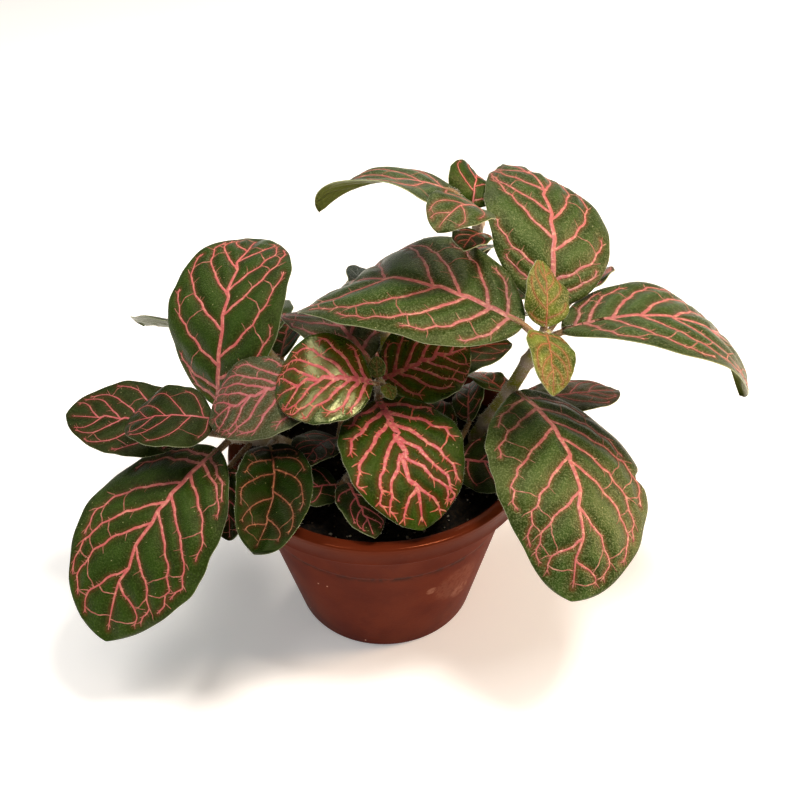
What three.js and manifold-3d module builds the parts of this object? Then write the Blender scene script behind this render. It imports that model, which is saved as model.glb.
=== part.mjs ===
// Potted nerve plant (Fittonia) with net-veined leaves, standing in a round nursery pot of
// brick-coloured plastic. Millimetres, +Z up, the origin at the centre of the pot's underside,
// +X to the right and -Y to the front.
//
// The pot, the soil and every shoot and leaf are separate solids. Each leaf is a thin blade with
// its leaf stalk, and the stalk ends a hair's breadth from the shoot that carries it.

import * as THREE from 'three';
import { mergeVertices } from 'three/addons/utils/BufferGeometryUtils.js';
import Module from 'manifold-3d';

const wasm = await Module();
wasm.setup();

// Pot: a 10.5 cm nursery pot
const POT_HEIGHT = 69.5;
const RIM_RADIUS = 52.5;
const RIM_WIDTH = 4.2;
const RIM_EDGE = 0.5;
const SKIRT_HEIGHT = 7;
const WALL = 1.3;
const FOOT_RADIUS = 32;
const FOOT_EDGE = 1.2;
const FLOOR = 1.8;
const FLOOR_BEVEL = 1.5;
const STEP_HEIGHT = 47;
const STEP_DEPTH = 0.4;
const POT_SIDES = 40;
const DRAINS = 6;
const DRAIN_RADIUS = 3;
const DRAIN_CIRCLE = 24;
const DRAIN_SIDES = 12;
const CUT_PAST = 1;

// Soil: its top lies under the rim, and its crumbs rise and dip by about a millimetre
const SOIL_LEVEL = 64;
const SOIL_GAP = 0.35;
const SOIL_DIP = 2.5;
const SOIL_RINGS = 6;
const CRUMB_HEIGHT = 0.7;
const SOIL_CROWN = 0.0004;
const HOLE_DEPTH = 14;
const HOLE_PAST = 9;
const HOLE_GAP = 0.4;
const HOLE_SIDES = 10;

// Shoots: swollen at the nodes and closed by a narrow end
const ROOT_DEPTH = 12;
const SHOOT_SIDES = 8;
const TAPER = 0.2;
const NODE_SWELLING = 1.25;
const END_REACH = 1.1;
const END_WIDTH = 0.5;
const TOUCH = 0.35;

// Leaves: the angles are degrees and the sizes are for a large, a small and a tiny leaf
const BLADE = 0.8;
const CURL = -6;
const BEND_POWER = 1.4;
const BASE_ROUNDNESS = 0.56;
const TIP_ROUNDNESS = 0.66;
const WAVES = 5;
const ACROSS = [-1, -0.55, 0, 0.55, 1];
const LARGE_LEAF = 38;
const TINY_LEAF = 12;
const BLADE_ROWS = [11, 8, 5];
const STALK_RADIUS = [1.25, 0.9, 0.6];
const STALK_SIDES = 5;
const STALK_ROWS = 16;
const STALK_SINK = 0.25;

const rad = THREE.MathUtils.degToRad;
const vec = (p) => new THREE.Vector3(...p);

const finish = (color, roughness) => new THREE.MeshStandardMaterial({ color, roughness, metalness: 0 });
const PLASTIC = finish('#8a4a33', 0.5);
const SOIL = finish('#15110d', 1);
const STEM = finish('#6d6647', 0.8);
const LEAF = finish('#3c5a22', 0.55);
const YOUNG_LEAF = finish('#8f9a48', 0.6);

// A closed mesh as a solid: shared corners merged, empty triangles dropped, faces turned outward.
function solidOf(geometry) {
  const bare = geometry.clone();
  bare.deleteAttribute('normal');
  bare.deleteAttribute('uv');
  const merged = mergeVertices(bare, 1e-4);
  const place = merged.getAttribute('position');
  const index = merged.getIndex();
  const corners = [0, 1, 2].map(() => new THREE.Vector3());
  const triangles = [];
  let volume = 0;
  for (let i = 0; i < index.count; i += 3) {
    const [a, b, c] = [index.getX(i), index.getX(i + 1), index.getX(i + 2)];
    if (a === b || b === c || c === a) continue;
    [a, b, c].forEach((v, k) => corners[k].fromBufferAttribute(place, v));
    volume += corners[0].dot(corners[1].clone().cross(corners[2]));
    triangles.push([a, b, c]);
  }
  if (volume < 0) triangles.forEach((t) => t.reverse());
  return new wasm.Manifold(new wasm.Mesh({
    numProp: 3,
    vertProperties: new Float32Array(place.array),
    triVerts: new Uint32Array(triangles.flat()),
  }));
}

function geometryOf(solid) {
  const mesh = solid.getMesh();
  const geometry = new THREE.BufferGeometry();
  geometry.setAttribute('position', new THREE.BufferAttribute(new Float32Array(mesh.vertProperties), 3));
  geometry.setIndex(new THREE.BufferAttribute(new Uint32Array(mesh.triVerts), 1));
  geometry.computeVertexNormals();
  return geometry;
}

function meshGeometry(points, triangles) {
  const geometry = new THREE.BufferGeometry();
  geometry.setAttribute('position', new THREE.Float32BufferAttribute(points.flatMap((p) => p.toArray()), 3));
  geometry.setIndex(triangles.flat());
  return geometry;
}

function cylinder(radius, bottom, top, x, y, sides) {
  const geometry = new THREE.CylinderGeometry(radius, radius, top - bottom, sides);
  geometry.rotateX(Math.PI / 2);
  geometry.translate(x, y, (top + bottom) / 2);
  return solidOf(geometry);
}

// A round tube through the points, with its own radius at each point and flat ends. Each ring
// lies across the path, and its first spoke follows the one before, so the tube doesn't twist.
function tube(points, radii, sides) {
  const last = points.length - 1;
  const places = [];
  const triangles = [];
  let spoke = new THREE.Vector3(1, 0.2, 0.1);
  points.forEach((point, i) => {
    const along = points[Math.min(i + 1, last)].clone().sub(points[Math.max(i - 1, 0)]).normalize();
    spoke = spoke.clone().addScaledVector(along, -spoke.dot(along)).normalize();
    const other = along.clone().cross(spoke);
    for (let k = 0; k < sides; k += 1) {
      const angle = (2 * Math.PI * k) / sides;
      places.push(point.clone()
        .addScaledVector(spoke, radii[i] * Math.cos(angle))
        .addScaledVector(other, radii[i] * Math.sin(angle)));
    }
  });
  for (let i = 0; i < last; i += 1) {
    for (let k = 0; k < sides; k += 1) {
      const a = i * sides + k;
      const b = i * sides + ((k + 1) % sides);
      triangles.push([a, b, b + sides], [a, b + sides, a + sides]);
    }
  }
  const far = last * sides;
  for (let k = 1; k < sides - 1; k += 1) {
    triangles.push([0, k + 1, k], [far, far + k, far + k + 1]);
  }
  return solidOf(meshGeometry(places, triangles));
}

// Pot: the wall leans out from the foot to the flat rim, whose skirt hangs clear of the wall.
const mouthRadius = RIM_RADIUS - RIM_WIDTH;
const wallTop = POT_HEIGHT - WALL;
const innerRadius = (z) => FOOT_RADIUS - WALL + ((mouthRadius - FOOT_RADIUS + WALL) * z) / POT_HEIGHT;
const wallRadius = (z) => innerRadius(z) + WALL;

function potSolid() {
  const skirtBottom = POT_HEIGHT - SKIRT_HEIGHT;
  const profile = [
    [0, 0],
    [FOOT_RADIUS - FOOT_EDGE, 0],
    [wallRadius(FOOT_EDGE) - STEP_DEPTH, FOOT_EDGE],
    [wallRadius(STEP_HEIGHT) - STEP_DEPTH, STEP_HEIGHT],
    [wallRadius(STEP_HEIGHT + 2 * STEP_DEPTH), STEP_HEIGHT + 2 * STEP_DEPTH],
    [wallRadius(wallTop), wallTop],
    [RIM_RADIUS - WALL, wallTop],
    [RIM_RADIUS - WALL, skirtBottom],
    [RIM_RADIUS - RIM_EDGE, skirtBottom],
    [RIM_RADIUS, skirtBottom + RIM_EDGE],
    [RIM_RADIUS, POT_HEIGHT - RIM_EDGE],
    [RIM_RADIUS - RIM_EDGE, POT_HEIGHT],
    [mouthRadius + RIM_EDGE, POT_HEIGHT],
    [innerRadius(POT_HEIGHT - RIM_EDGE), POT_HEIGHT - RIM_EDGE],
    [innerRadius(FLOOR + FLOOR_BEVEL), FLOOR + FLOOR_BEVEL],
    [innerRadius(FLOOR) - FLOOR_BEVEL, FLOOR],
    [0, FLOOR],
  ].map(([r, z]) => new THREE.Vector2(r, z));
  const shell = new THREE.LatheGeometry(profile, POT_SIDES);
  shell.rotateX(Math.PI / 2);
  let pot = solidOf(shell);
  for (let i = 0; i < DRAINS; i += 1) {
    const angle = (2 * Math.PI * (i + 0.5)) / DRAINS;
    const [x, y] = [DRAIN_CIRCLE * Math.cos(angle), DRAIN_CIRCLE * Math.sin(angle)];
    pot = pot.subtract(cylinder(DRAIN_RADIUS, -CUT_PAST, FLOOR + CUT_PAST, x, y, DRAIN_SIDES));
  }
  return pot;
}

// Soil: a crumbly top of small waves over the pot's filling, with a plain hole for each shoot.
function soilHeight(x, y) {
  const lumps = Math.sin(0.55 * x + 0.3 * y) * Math.cos(0.47 * y - 0.2 * x);
  const crumbs = lumps + 0.5 * Math.sin(1.3 * x - 0.9 * y);
  return SOIL_LEVEL + CRUMB_HEIGHT * crumbs - SOIL_CROWN * (x * x + y * y);
}

function soilSolid(shoots) {
  const low = FLOOR + SOIL_GAP;
  const lowRadius = innerRadius(FLOOR) - FLOOR_BEVEL - 2 * SOIL_GAP;
  const topRadius = innerRadius(SOIL_LEVEL - SOIL_DIP) - SOIL_GAP;
  const places = [new THREE.Vector3(0, 0, low), new THREE.Vector3(0, 0, soilHeight(0, 0))];
  const triangles = [];
  const ring = (k, i) => 2 + k * POT_SIDES + (i % POT_SIDES);
  for (let k = 0; k <= SOIL_RINGS; k += 1) {
    for (let i = 0; i < POT_SIDES; i += 1) {
      const angle = (2 * Math.PI * i) / POT_SIDES;
      const radius = k === 0 ? lowRadius : (topRadius * (SOIL_RINGS + 1 - k)) / SOIL_RINGS;
      const [x, y] = [radius * Math.cos(angle), radius * Math.sin(angle)];
      places.push(new THREE.Vector3(x, y, k === 0 ? low : soilHeight(x, y)));
    }
  }
  for (let i = 0; i < POT_SIDES; i += 1) {
    triangles.push([0, ring(0, i + 1), ring(0, i)]);
    triangles.push([1, ring(SOIL_RINGS, i), ring(SOIL_RINGS, i + 1)]);
    for (let k = 0; k < SOIL_RINGS; k += 1) {
      triangles.push([ring(k, i), ring(k, i + 1), ring(k + 1, i + 1)]);
      triangles.push([ring(k, i), ring(k + 1, i + 1), ring(k + 1, i)]);
    }
  }
  let soil = solidOf(meshGeometry(places, triangles));
  shoots.forEach(({ radius, path: [[x, y]] }) => {
    const [bottom, top] = [SOIL_LEVEL - HOLE_DEPTH, SOIL_LEVEL + HOLE_PAST];
    soil = soil.subtract(cylinder(radius + HOLE_GAP, bottom, top, x, y, HOLE_SIDES));
  });
  return soil;
}

// Shoot: it stands straight down in its hole and then follows its path, thinner at the top.
// Every second ring lies at a node, and the last one closes the end. The clearance makes the same
// shoot a little fatter, to cut it out of its leaf stalks.
function shootSolid({ radius, path }, clearance = 0) {
  const [[x, y]] = path;
  const straight = [SOIL_LEVEL - ROOT_DEPTH, SOIL_LEVEL + 1].map((z) => new THREE.Vector3(x, y, z));
  const curve = new THREE.CatmullRomCurve3([straight[1], ...path.slice(1).map(vec)]);
  const points = [straight[0], ...curve.getPoints((path.length - 1) * 2)];
  const last = points.length - 1;
  const swelling = (i) => (i > 1 && i % 2 === 1 ? NODE_SWELLING : 1);
  const radii = points.map((p, i) => radius * (1 - TAPER * (i / last)) * swelling(i) + clearance);
  const onward = points[last].clone().sub(points[last - 1]).normalize();
  points.push(points[last].clone().addScaledVector(onward, END_REACH * radius + clearance));
  radii.push(END_WIDTH * radius + clearance);
  return tube(points, radii, SHOOT_SIDES);
}

// The midrib starts at the base and runs on in steps: its heading turns by the sway and its slope
// falls by the droop, slowly at first. Each row of the blade gets a place on the midrib, a
// direction to the leaf's left and the upward normal, rolled about the midrib.
function midrib(leaf, rows) {
  const spots = [];
  const place = vec(leaf.at);
  const angles = (s) => [rad(leaf.heading + leaf.sway * s), rad(leaf.rise - leaf.droop * s ** BEND_POWER)];
  const direction = (s) => {
    const [heading, slope] = angles(s);
    return new THREE.Vector3(
      Math.cos(slope) * Math.cos(heading),
      Math.cos(slope) * Math.sin(heading),
      Math.sin(slope),
    );
  };
  let before = 0;
  for (let i = 0; i <= rows; i += 1) {
    const s = (1 - Math.cos((Math.PI * i) / rows)) / 2;
    place.addScaledVector(direction((before + s) / 2), leaf.length * (s - before));
    before = s;
    const [heading] = angles(s);
    const flatSide = new THREE.Vector3(-Math.sin(heading), Math.cos(heading), 0);
    const flatUp = direction(s).cross(flatSide);
    const roll = rad(leaf.roll + leaf.twist * s);
    const side = flatSide.clone().multiplyScalar(Math.cos(roll)).addScaledVector(flatUp, Math.sin(roll));
    const up = flatUp.clone().multiplyScalar(Math.cos(roll)).addScaledVector(flatSide, -Math.sin(roll));
    spots.push({ s, place: place.clone(), side, up });
  }
  return spots;
}

// Half the blade's width at s: a power curve that is round at the base and narrower at the tip.
function halfWidth(leaf, s) {
  const a = BASE_ROUNDNESS;
  const b = leaf.tip;
  const peak = (a ** a * b ** b) / (a + b) ** (a + b);
  return ((leaf.width / 2) * s ** a * (1 - s) ** b) / peak;
}

// The one of three values that is for a leaf of this size: large, small or tiny.
function bySize(leaf, [large, small, tiny]) {
  if (leaf.length > LARGE_LEAF) return large;
  return leaf.length > TINY_LEAF ? small : tiny;
}

// Blade: each half leans up from the midrib by the fold and arches over by the curl, and the
// margin waves gently. Both faces have the same triangles, and the rows end in a point.
function bladeSolid(leaf) {
  const rows = bySize(leaf, BLADE_ROWS);
  const spots = midrib(leaf, rows);
  const places = [];
  const number = (i, j, face) => {
    if (i === 0) return face;
    if (i === rows) return 2 + face;
    return 4 + ((i - 1) * ACROSS.length + j) * 2 + face;
  };
  const addPair = (place, normal) => {
    places.push(place.clone().addScaledVector(normal, BLADE / 2));
    places.push(place.clone().addScaledVector(normal, -BLADE / 2));
  };
  addPair(spots[0].place, spots[0].up);
  addPair(spots[rows].place, spots[rows].up);
  spots.slice(1, rows).forEach(({ s, place, side, up }) => {
    ACROSS.forEach((t) => {
      const reach = halfWidth(leaf, s) * Math.abs(t);
      const half = Math.sign(t);
      const lean = rad(leaf.fold + leaf.foldTip * s + (CURL * Math.abs(t)) / 2);
      const wave = leaf.wave * t * t * Math.sin(WAVES * Math.PI * s + half);
      const point = place.clone()
        .addScaledVector(side, half * reach * Math.cos(lean))
        .addScaledVector(up, reach * Math.sin(lean) + wave);
      const normal = up.clone().multiplyScalar(Math.cos(lean)).addScaledVector(side, -half * Math.sin(lean));
      addPair(point, normal);
    });
  });
  const triangles = [];
  const addQuad = (a, b, c, d) => triangles.push([a, b, c], [a, c, d]);
  for (let i = 0; i < rows; i += 1) {
    for (let j = 0; j < ACROSS.length - 1; j += 1) {
      addQuad(number(i, j, 0), number(i + 1, j, 0), number(i + 1, j + 1, 0), number(i, j + 1, 0));
      addQuad(number(i, j + 1, 1), number(i + 1, j + 1, 1), number(i + 1, j, 1), number(i, j, 1));
    }
    const edge = ACROSS.length - 1;
    addQuad(number(i, 0, 0), number(i, 0, 1), number(i + 1, 0, 1), number(i + 1, 0, 0));
    addQuad(number(i, edge, 1), number(i, edge, 0), number(i + 1, edge, 0), number(i + 1, edge, 1));
  }
  return solidOf(meshGeometry(places, triangles.filter(([a, b, c]) => a !== b && b !== c && c !== a)));
}

// Leaf: the blade and its stalk, which bends from the node into the underside of the midrib.
function leafSolid(leaf, node) {
  const spots = midrib(leaf, STALK_ROWS);
  const thick = bySize(leaf, STALK_RADIUS);
  const under = (i) => spots[i].place.clone().addScaledVector(spots[i].up, -STALK_SINK);
  const base = under(0);
  const backwards = spots[0].place.clone().sub(spots[2].place);
  const bend = node.clone().lerp(base, 0.55).addScaledVector(backwards, 0.4);
  const places = [node, bend, base, under(3), under(5)];
  const radii = [1, 1, 0.9, 0.6, 0.45].map((share) => share * thick);
  return bladeSolid(leaf).add(tube(places, radii, STALK_SIDES));
}

const LEAF_DEFAULTS = { roll: 0, twist: 0, sway: 0, fold: 8, foldTip: 0, tip: TIP_ROUNDNESS, wave: 0.4 };

// The plant, shoot by shoot. A shoot's path starts with the x and y of its foot in the soil. Each
// leaf names the point of the path that it grows from, and its blade starts at its own place.
const SHOOTS = [
  {
    name: 'shoot_right',
    radius: 2.4,
    path: [[32.5, 6], [36, 4, 74], [43, 0, 90], [48, -4, 105], [51, -6.5, 113.5], [52, -8, 117.5]],
    leaves: [
      { name: 'leaf_right_front', node: 2, at: [45, -2, 91], heading: 310, rise: -2, droop: 51, sway: -64,
        length: 78, width: 55, roll: -14, twist: -10, fold: -5, tip: 0.71 },
      { name: 'leaf_right_back', node: 2, at: [49, 8, 79.5], heading: 10, rise: 1, droop: 21, sway: 15,
        length: 37, width: 23, roll: -7, fold: 2 },
      { name: 'leaf_right_small', node: 1, at: [43, 10, 81.5], heading: 130, rise: 6, droop: 49, sway: -26,
        length: 23, width: 14, roll: 13 },
      { name: 'leaf_top_left', node: 4, at: [45, -10, 123], heading: 164, rise: 24, droop: 84, sway: -27,
        length: 80, width: 52, roll: -15, twist: 19, fold: 1, foldTip: 4, tip: 0.45 },
      { name: 'leaf_top_back', node: 4, at: [54.5, 5, 119.5], heading: 73, rise: 53, droop: 82, sway: 51,
        length: 70, width: 43, roll: 16, fold: 5, foldTip: -20, tip: 0.72 },
      { name: 'leaf_top_right', node: 4, at: [57.5, -6.5, 118], heading: 2, rise: 18, droop: 108, sway: 8,
        length: 83, width: 49, roll: -14, twist: 19, fold: 12, foldTip: -22, tip: 0.8 },
      { name: 'leaf_top_hidden', node: 3, at: [63, 14, 116], heading: 49, rise: 8, droop: 26, sway: 11,
        length: 27, width: 14, roll: -26 },
      { name: 'young_leaf_up', node: 5, young: true, at: [52, -8.5, 121], heading: 81, rise: 60, droop: 46,
        sway: 20, length: 22, width: 17, roll: 16, twist: 33, fold: 6 },
      { name: 'young_leaf_down', node: 5, young: true, at: [51.5, -13, 121.5], heading: 269, rise: 18,
        droop: 70, length: 27, width: 16, roll: -15, twist: -18, fold: 10 },
    ],
  },
  {
    name: 'shoot_tall',
    radius: 2.2,
    path: [[16, 38], [17, 40, 80], [22, 40, 100], [28, 34, 117], [32, 25, 134], [32.5, 20, 142]],
    leaves: [
      { name: 'leaf_rear_low', node: 1, at: [22, 46, 82], heading: 50, rise: 8, droop: 62, sway: -10,
        length: 52, width: 34, roll: -4 },
      { name: 'leaf_rear_middle', node: 2, at: [16, 46.5, 98.5], heading: 114, rise: 2, droop: 84, sway: 12,
        length: 54, width: 35, roll: 4 },
      { name: 'leaf_rear_right', node: 2, at: [28, 41.5, 100], heading: 27, rise: 5, droop: 80, sway: 25,
        length: 54, width: 35, roll: -5 },
      { name: 'leaf_rear_upper', node: 3, at: [26.5, 41.5, 116], heading: 82, rise: -4, droop: 80, sway: 4,
        length: 41, width: 26, roll: 3 },
      { name: 'leaf_tall_left', node: 5, at: [24.5, 16, 155], heading: 178, rise: 23, droop: 72,
        sway: 10, length: 45, width: 36, roll: 3, twist: 33, fold: -7, foldTip: 31 },
      { name: 'leaf_tall_back', node: 5, at: [31.5, 33.5, 140], heading: 80, rise: 60, droop: 110,
        length: 18, width: 20, roll: 20, twist: 20 },
      { name: 'leaf_tall_front', node: 5, at: [33.5, 11, 150.5], heading: 229, rise: 43, droop: 76, sway: 9,
        length: 29, width: 19, roll: -6, twist: -11, fold: 4 },
      { name: 'leaf_tall_low', node: 4, at: [33.5, 14.5, 141], heading: 241, rise: 26, droop: 29, sway: 13,
        length: 20, width: 12, roll: -6 },
    ],
  },
  {
    name: 'shoot_left',
    radius: 2.3,
    path: [[-24, 0], [-34, -3.5, 72], [-42, -6, 76.5], [-49, -8, 79.5], [-52, -8.5, 85]],
    leaves: [
      { name: 'leaf_left_tall', node: 4, at: [-56, 10, 78], heading: 80, rise: 71, droop: 99, sway: -4,
        length: 75, width: 46, roll: -29, twist: 30, fold: 4 },
      { name: 'leaf_left_outer', node: 3, at: [-64, -0.5, 76], heading: 177, rise: 14, droop: 19, sway: -2,
        length: 43, width: 31, roll: -15, fold: 7 },
      { name: 'leaf_left_inner', node: 4, at: [-54, -10, 88], heading: 193, rise: 23, droop: 58, sway: -18,
        length: 30, width: 30, roll: -10, twist: 14, fold: 4 },
      { name: 'leaf_left_front', node: 3, at: [-53.5, -12, 77], heading: 220, rise: -17, droop: 46, sway: 26,
        length: 73, width: 52, roll: 7, twist: -20, fold: 0 },
      { name: 'leaf_left_rim', node: 2, at: [-50.5, -17.5, 73], heading: 275, rise: -25, droop: 20,
        length: 24, width: 16, roll: 20, twist: 10 },
    ],
  },
  {
    name: 'shoot_back_left',
    radius: 2,
    path: [[-26, 22], [-33, 25, 78], [-42, 31, 88], [-52, 35, 95]],
    leaves: [
      { name: 'leaf_rear_corner', node: 2, at: [-44.5, 38, 85], heading: 100, rise: 0, droop: 60, sway: 6,
        length: 50, width: 32, roll: -6 },
      { name: 'leaf_edge', node: 3, at: [-60.5, 36, 94], heading: 153, rise: -16, droop: 15, sway: -26,
        length: 42, width: 26, roll: 34 },
      { name: 'leaf_behind', node: 1, at: [-35.5, 31, 83], heading: 83, rise: 15, droop: 37, sway: 5,
        length: 27, width: 21, roll: -31, fold: 12 },
    ],
  },
  {
    name: 'shoot_inner_left',
    radius: 1.9,
    path: [[-11, 9], [-13, 6, 78], [-15, 2, 93]],
    leaves: [
      { name: 'leaf_inner_left', node: 2, at: [-22, -2, 98.5], heading: 215, rise: 10, droop: 59, sway: -29,
        length: 38, width: 37, roll: -4, twist: -5, fold: 0 },
      { name: 'leaf_shade', node: 1, at: [-14.5, -5, 75], heading: 236, rise: 31, droop: 42, sway: 15,
        length: 25, width: 17 },
    ],
  },
  {
    name: 'shoot_middle',
    radius: 2,
    path: [[2, 4], [0.5, 1, 78], [0.5, -3.5, 93], [0, -6, 98.5]],
    leaves: [
      { name: 'leaf_middle_left', node: 3, at: [-2, -13.5, 104.5], heading: 194, rise: 24, droop: 82,
        sway: -27, length: 34, width: 32, roll: -26, twist: 2, fold: 6 },
      { name: 'leaf_middle_right', node: 2, at: [0.5, 1.5, 94], heading: 11, rise: 23, droop: 36, sway: 21,
        length: 33, width: 31, roll: 18, twist: 19, fold: 6 },
      { name: 'leaf_middle_front', node: 2, at: [-0.5, -8.5, 93.5], heading: 291, rise: 1, droop: 60,
        sway: -6, length: 49, width: 39, roll: -2, fold: 5 },
      { name: 'bud_leaf_up', node: 3, young: true, at: [-0.5, -7.5, 102], heading: 92, rise: 72, droop: 20,
        length: 7, width: 5.5 },
      { name: 'bud_leaf_down', node: 3, young: true, at: [2, -9.5, 100.5], heading: 292, rise: 5, droop: 50,
        length: 6.5, width: 5 },
    ],
  },
  {
    name: 'shoot_back',
    radius: 2,
    path: [[8, 20], [5, 17, 78], [2, 16, 88], [2, 24, 100], [1, 26, 107]],
    leaves: [
      { name: 'leaf_rear_left', node: 1, at: [1, 25, 82], heading: 112, rise: 12, droop: 66, sway: -2,
        length: 56, width: 36, roll: 4 },
      { name: 'leaf_back_left', node: 2, at: [-4, 16, 92], heading: 130, rise: 33, droop: 80, sway: 11,
        length: 43, width: 31, roll: -5, twist: 18 },
      { name: 'leaf_back_right', node: 2, at: [13.5, 18.5, 87], heading: 18, rise: 15, droop: 22, sway: -10,
        length: 34, width: 28, roll: 8, twist: -15 },
      { name: 'leaf_back_top', node: 3, at: [-1.5, 36.5, 102], heading: 150, rise: 62, droop: 35, sway: 4,
        length: 16, width: 16, roll: 4, twist: 4, fold: 4 },
    ],
  },
  {
    name: 'shoot_front_left',
    radius: 1.9,
    path: [[-22, -13], [-28, -13, 72], [-34, -12, 80]],
    leaves: [
      { name: 'leaf_hanging', node: 2, at: [-35.5, -18.5, 83], heading: 285, rise: -2, droop: 6, sway: -35,
        length: 45, width: 26, roll: -4, twist: -15, fold: 30, tip: 0.8 },
    ],
  },
  {
    name: 'shoot_front',
    radius: 1.6,
    path: [[-9, -14], [-10, -17, 69], [-11, -22, 72]],
    leaves: [
      { name: 'leaf_front_small', node: 2, at: [-10.5, -27, 74.5], heading: 290, rise: 2, droop: 14,
        length: 25, width: 15, roll: -14 },
      { name: 'leaf_front_left', node: 2, at: [-14, -24.5, 71.5], heading: 203, rise: 18, droop: 22,
        length: 17, width: 16, roll: -15 },
    ],
  },
  {
    name: 'shoot_low_right',
    radius: 1.6,
    path: [[20, -4], [22, -4.5, 68], [26, -5, 72]],
    leaves: [
      { name: 'leaf_low_front', node: 1, at: [25.5, -10, 69], heading: 336, rise: 13, droop: 2, sway: -12,
        length: 33, width: 25, roll: 17 },
      { name: 'leaf_low_up', node: 2, at: [30, 1, 76.5], heading: 90, rise: 20, droop: 55, sway: -11,
        length: 24, width: 12, roll: -28 },
      { name: 'leaf_low_left', node: 1, at: [24, -2, 72.5], heading: 130, rise: 20, droop: 51, sway: -47,
        length: 24, width: 13 },
    ],
  },
];

const group = new THREE.Group();
function addPart(name, solid, material) {
  const mesh = new THREE.Mesh(geometryOf(solid), material);
  mesh.name = name;
  group.add(mesh);
}

addPart('pot', potSolid(), PLASTIC);
addPart('soil', soilSolid(SHOOTS), SOIL);
SHOOTS.forEach((shoot) => {
  addPart(shoot.name, shootSolid(shoot), STEM);
  const cut = shootSolid(shoot, TOUCH);
  shoot.leaves.forEach((choice) => {
    const leaf = { ...LEAF_DEFAULTS, ...choice };
    const solid = leafSolid(leaf, vec(shoot.path[leaf.node])).subtract(cut);
    addPart(leaf.name, solid, leaf.young ? YOUNG_LEAF : LEAF);
  });
});

export default group;
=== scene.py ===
# Potted nerve plant with coral-veined leaves in a brick-coloured nursery pot.
# Lengths are millimetres and angles are degrees until make_piece turns millimetres into metres.
from types import SimpleNamespace

import bpy
import numpy as np
from mathutils import Matrix


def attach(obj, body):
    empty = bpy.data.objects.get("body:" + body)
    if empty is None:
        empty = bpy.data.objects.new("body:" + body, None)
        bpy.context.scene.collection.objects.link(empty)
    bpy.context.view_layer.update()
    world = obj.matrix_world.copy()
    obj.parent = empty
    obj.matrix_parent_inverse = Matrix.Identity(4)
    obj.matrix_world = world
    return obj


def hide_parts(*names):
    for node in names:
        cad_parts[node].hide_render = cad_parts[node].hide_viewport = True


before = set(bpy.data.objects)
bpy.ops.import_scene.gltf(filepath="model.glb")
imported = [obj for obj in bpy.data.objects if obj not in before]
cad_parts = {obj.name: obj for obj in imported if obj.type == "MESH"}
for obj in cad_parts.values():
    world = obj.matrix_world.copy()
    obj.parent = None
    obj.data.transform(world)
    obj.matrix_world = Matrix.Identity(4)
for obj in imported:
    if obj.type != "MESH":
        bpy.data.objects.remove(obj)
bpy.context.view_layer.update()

MM = 0.001

# Pot: a 10.5 cm nursery pot
POT_HEIGHT = 69.5
RIM_RADIUS = 52.5
RIM_WIDTH = 4.2
SKIRT_HEIGHT = 7
WALL = 1.3
FOOT_RADIUS = 32
FLOOR = 1.8
STEP_HEIGHT = 47
STEP_DEPTH = 0.4
DRAINS = 6
DRAIN_RADIUS = 3
DRAIN_CIRCLE = 24
DRAIN_SIDES = 48
CORNER = 0.5
FLOOR_CORNER = 1.5
POT_SIDES = 160
MOUTH_RADIUS = RIM_RADIUS - RIM_WIDTH
# Pale patches on the pot, each by its place, its width and its strength
SCUFFS = [((16.3, -37.2, 33.9), 4, 0.25), ((25, -31, 32), 18, 0.08), ((26.4, -27.5, 24.1), 8, 0.15)]

# Soil
SOIL_LEVEL = 64
SOIL_GAP = 0.35
SOIL_CROWN = 0.0004
SOIL_GRAIN = 0.16
SOIL_RINGS = 64
SOIL_SIDES = 200
CRUMBS = 420

# Shoots
ROOT_DEPTH = 12
TAPER = 0.2
NODE_SWELLING = 0.25
NODE_LENGTH = 1.5
NODE_TINT_LENGTH = 2.5
SHOOT_SIDES = 20

# Hairs: how many on a square millimetre of stem and on a millimetre of leaf, and their sizes
HAIR_DENSITY = 2.2
MARGIN_HAIRS = 5
STEM_HAIR = 1.1
STALK_HAIR = 0.8
HAIR_RADIUS = 0.045
MARGIN_HAIR_RADIUS = 0.03

# Leaves
BLADE = 0.5
RIM_BULGE = 0.08
CURL = -6
BEND_POWER = 1.4
BASE_ROUNDNESS = 0.56
WAVES = 5
PUFF = 0.95
PUFF_REACH = 2.4
FULL_PUFF_LENGTH = 60
BLUNT_LENGTH = 4
EDGE_POWER = 1.3
LARGE_LEAF = 38
TINY_LEAF = 12
STALK_SINK = 0.25
STALK_SIDES = 12
STALK_STEPS = 20
HAIRY_STALK_STEPS = 14
# Radii for a large, a middle and a tiny leaf
STALK_RADII = (1.25, 0.9, 0.6)
HAIR_ROOT_RADII = (1.2, 0.85, 0.55)

# Veins. A leaf has three pairs of side veins, and one more for each of these lengths that it exceeds.
# Their thickness goes by the leaf's length over the full length.
MORE_VEINS_FROM = (20, 38, 60)
FULL_LENGTH = 78
RIB_SHIFT = 1.2
KINK_SPACING = 4.6
THORN_SPACING = 2.5
LINK_REACH = 10
VEIN_RISE = 0.1
WOBBLES = (7.3, 3.1)

# What a leaf has where its entry says nothing. roll, twist: how far its face is turned about the
# midrib at its base, and further by its tip. sway: how far its heading turns. fold, foldTip: how far
# its halves lean up at its base, and further by its tip. tip: how pointed it is. wave: how high its
# margin waves.
LEAF_DEFAULTS = dict(roll=0, twist=0, sway=0, fold=8, foldTip=0, tip=0.66, wave=0.4, young=False,
                     left=None, right=None, dents=(), coarse=1.0, sweep=1.0, linked=0.9, blunt=0.0,
                     finish="dark")

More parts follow.
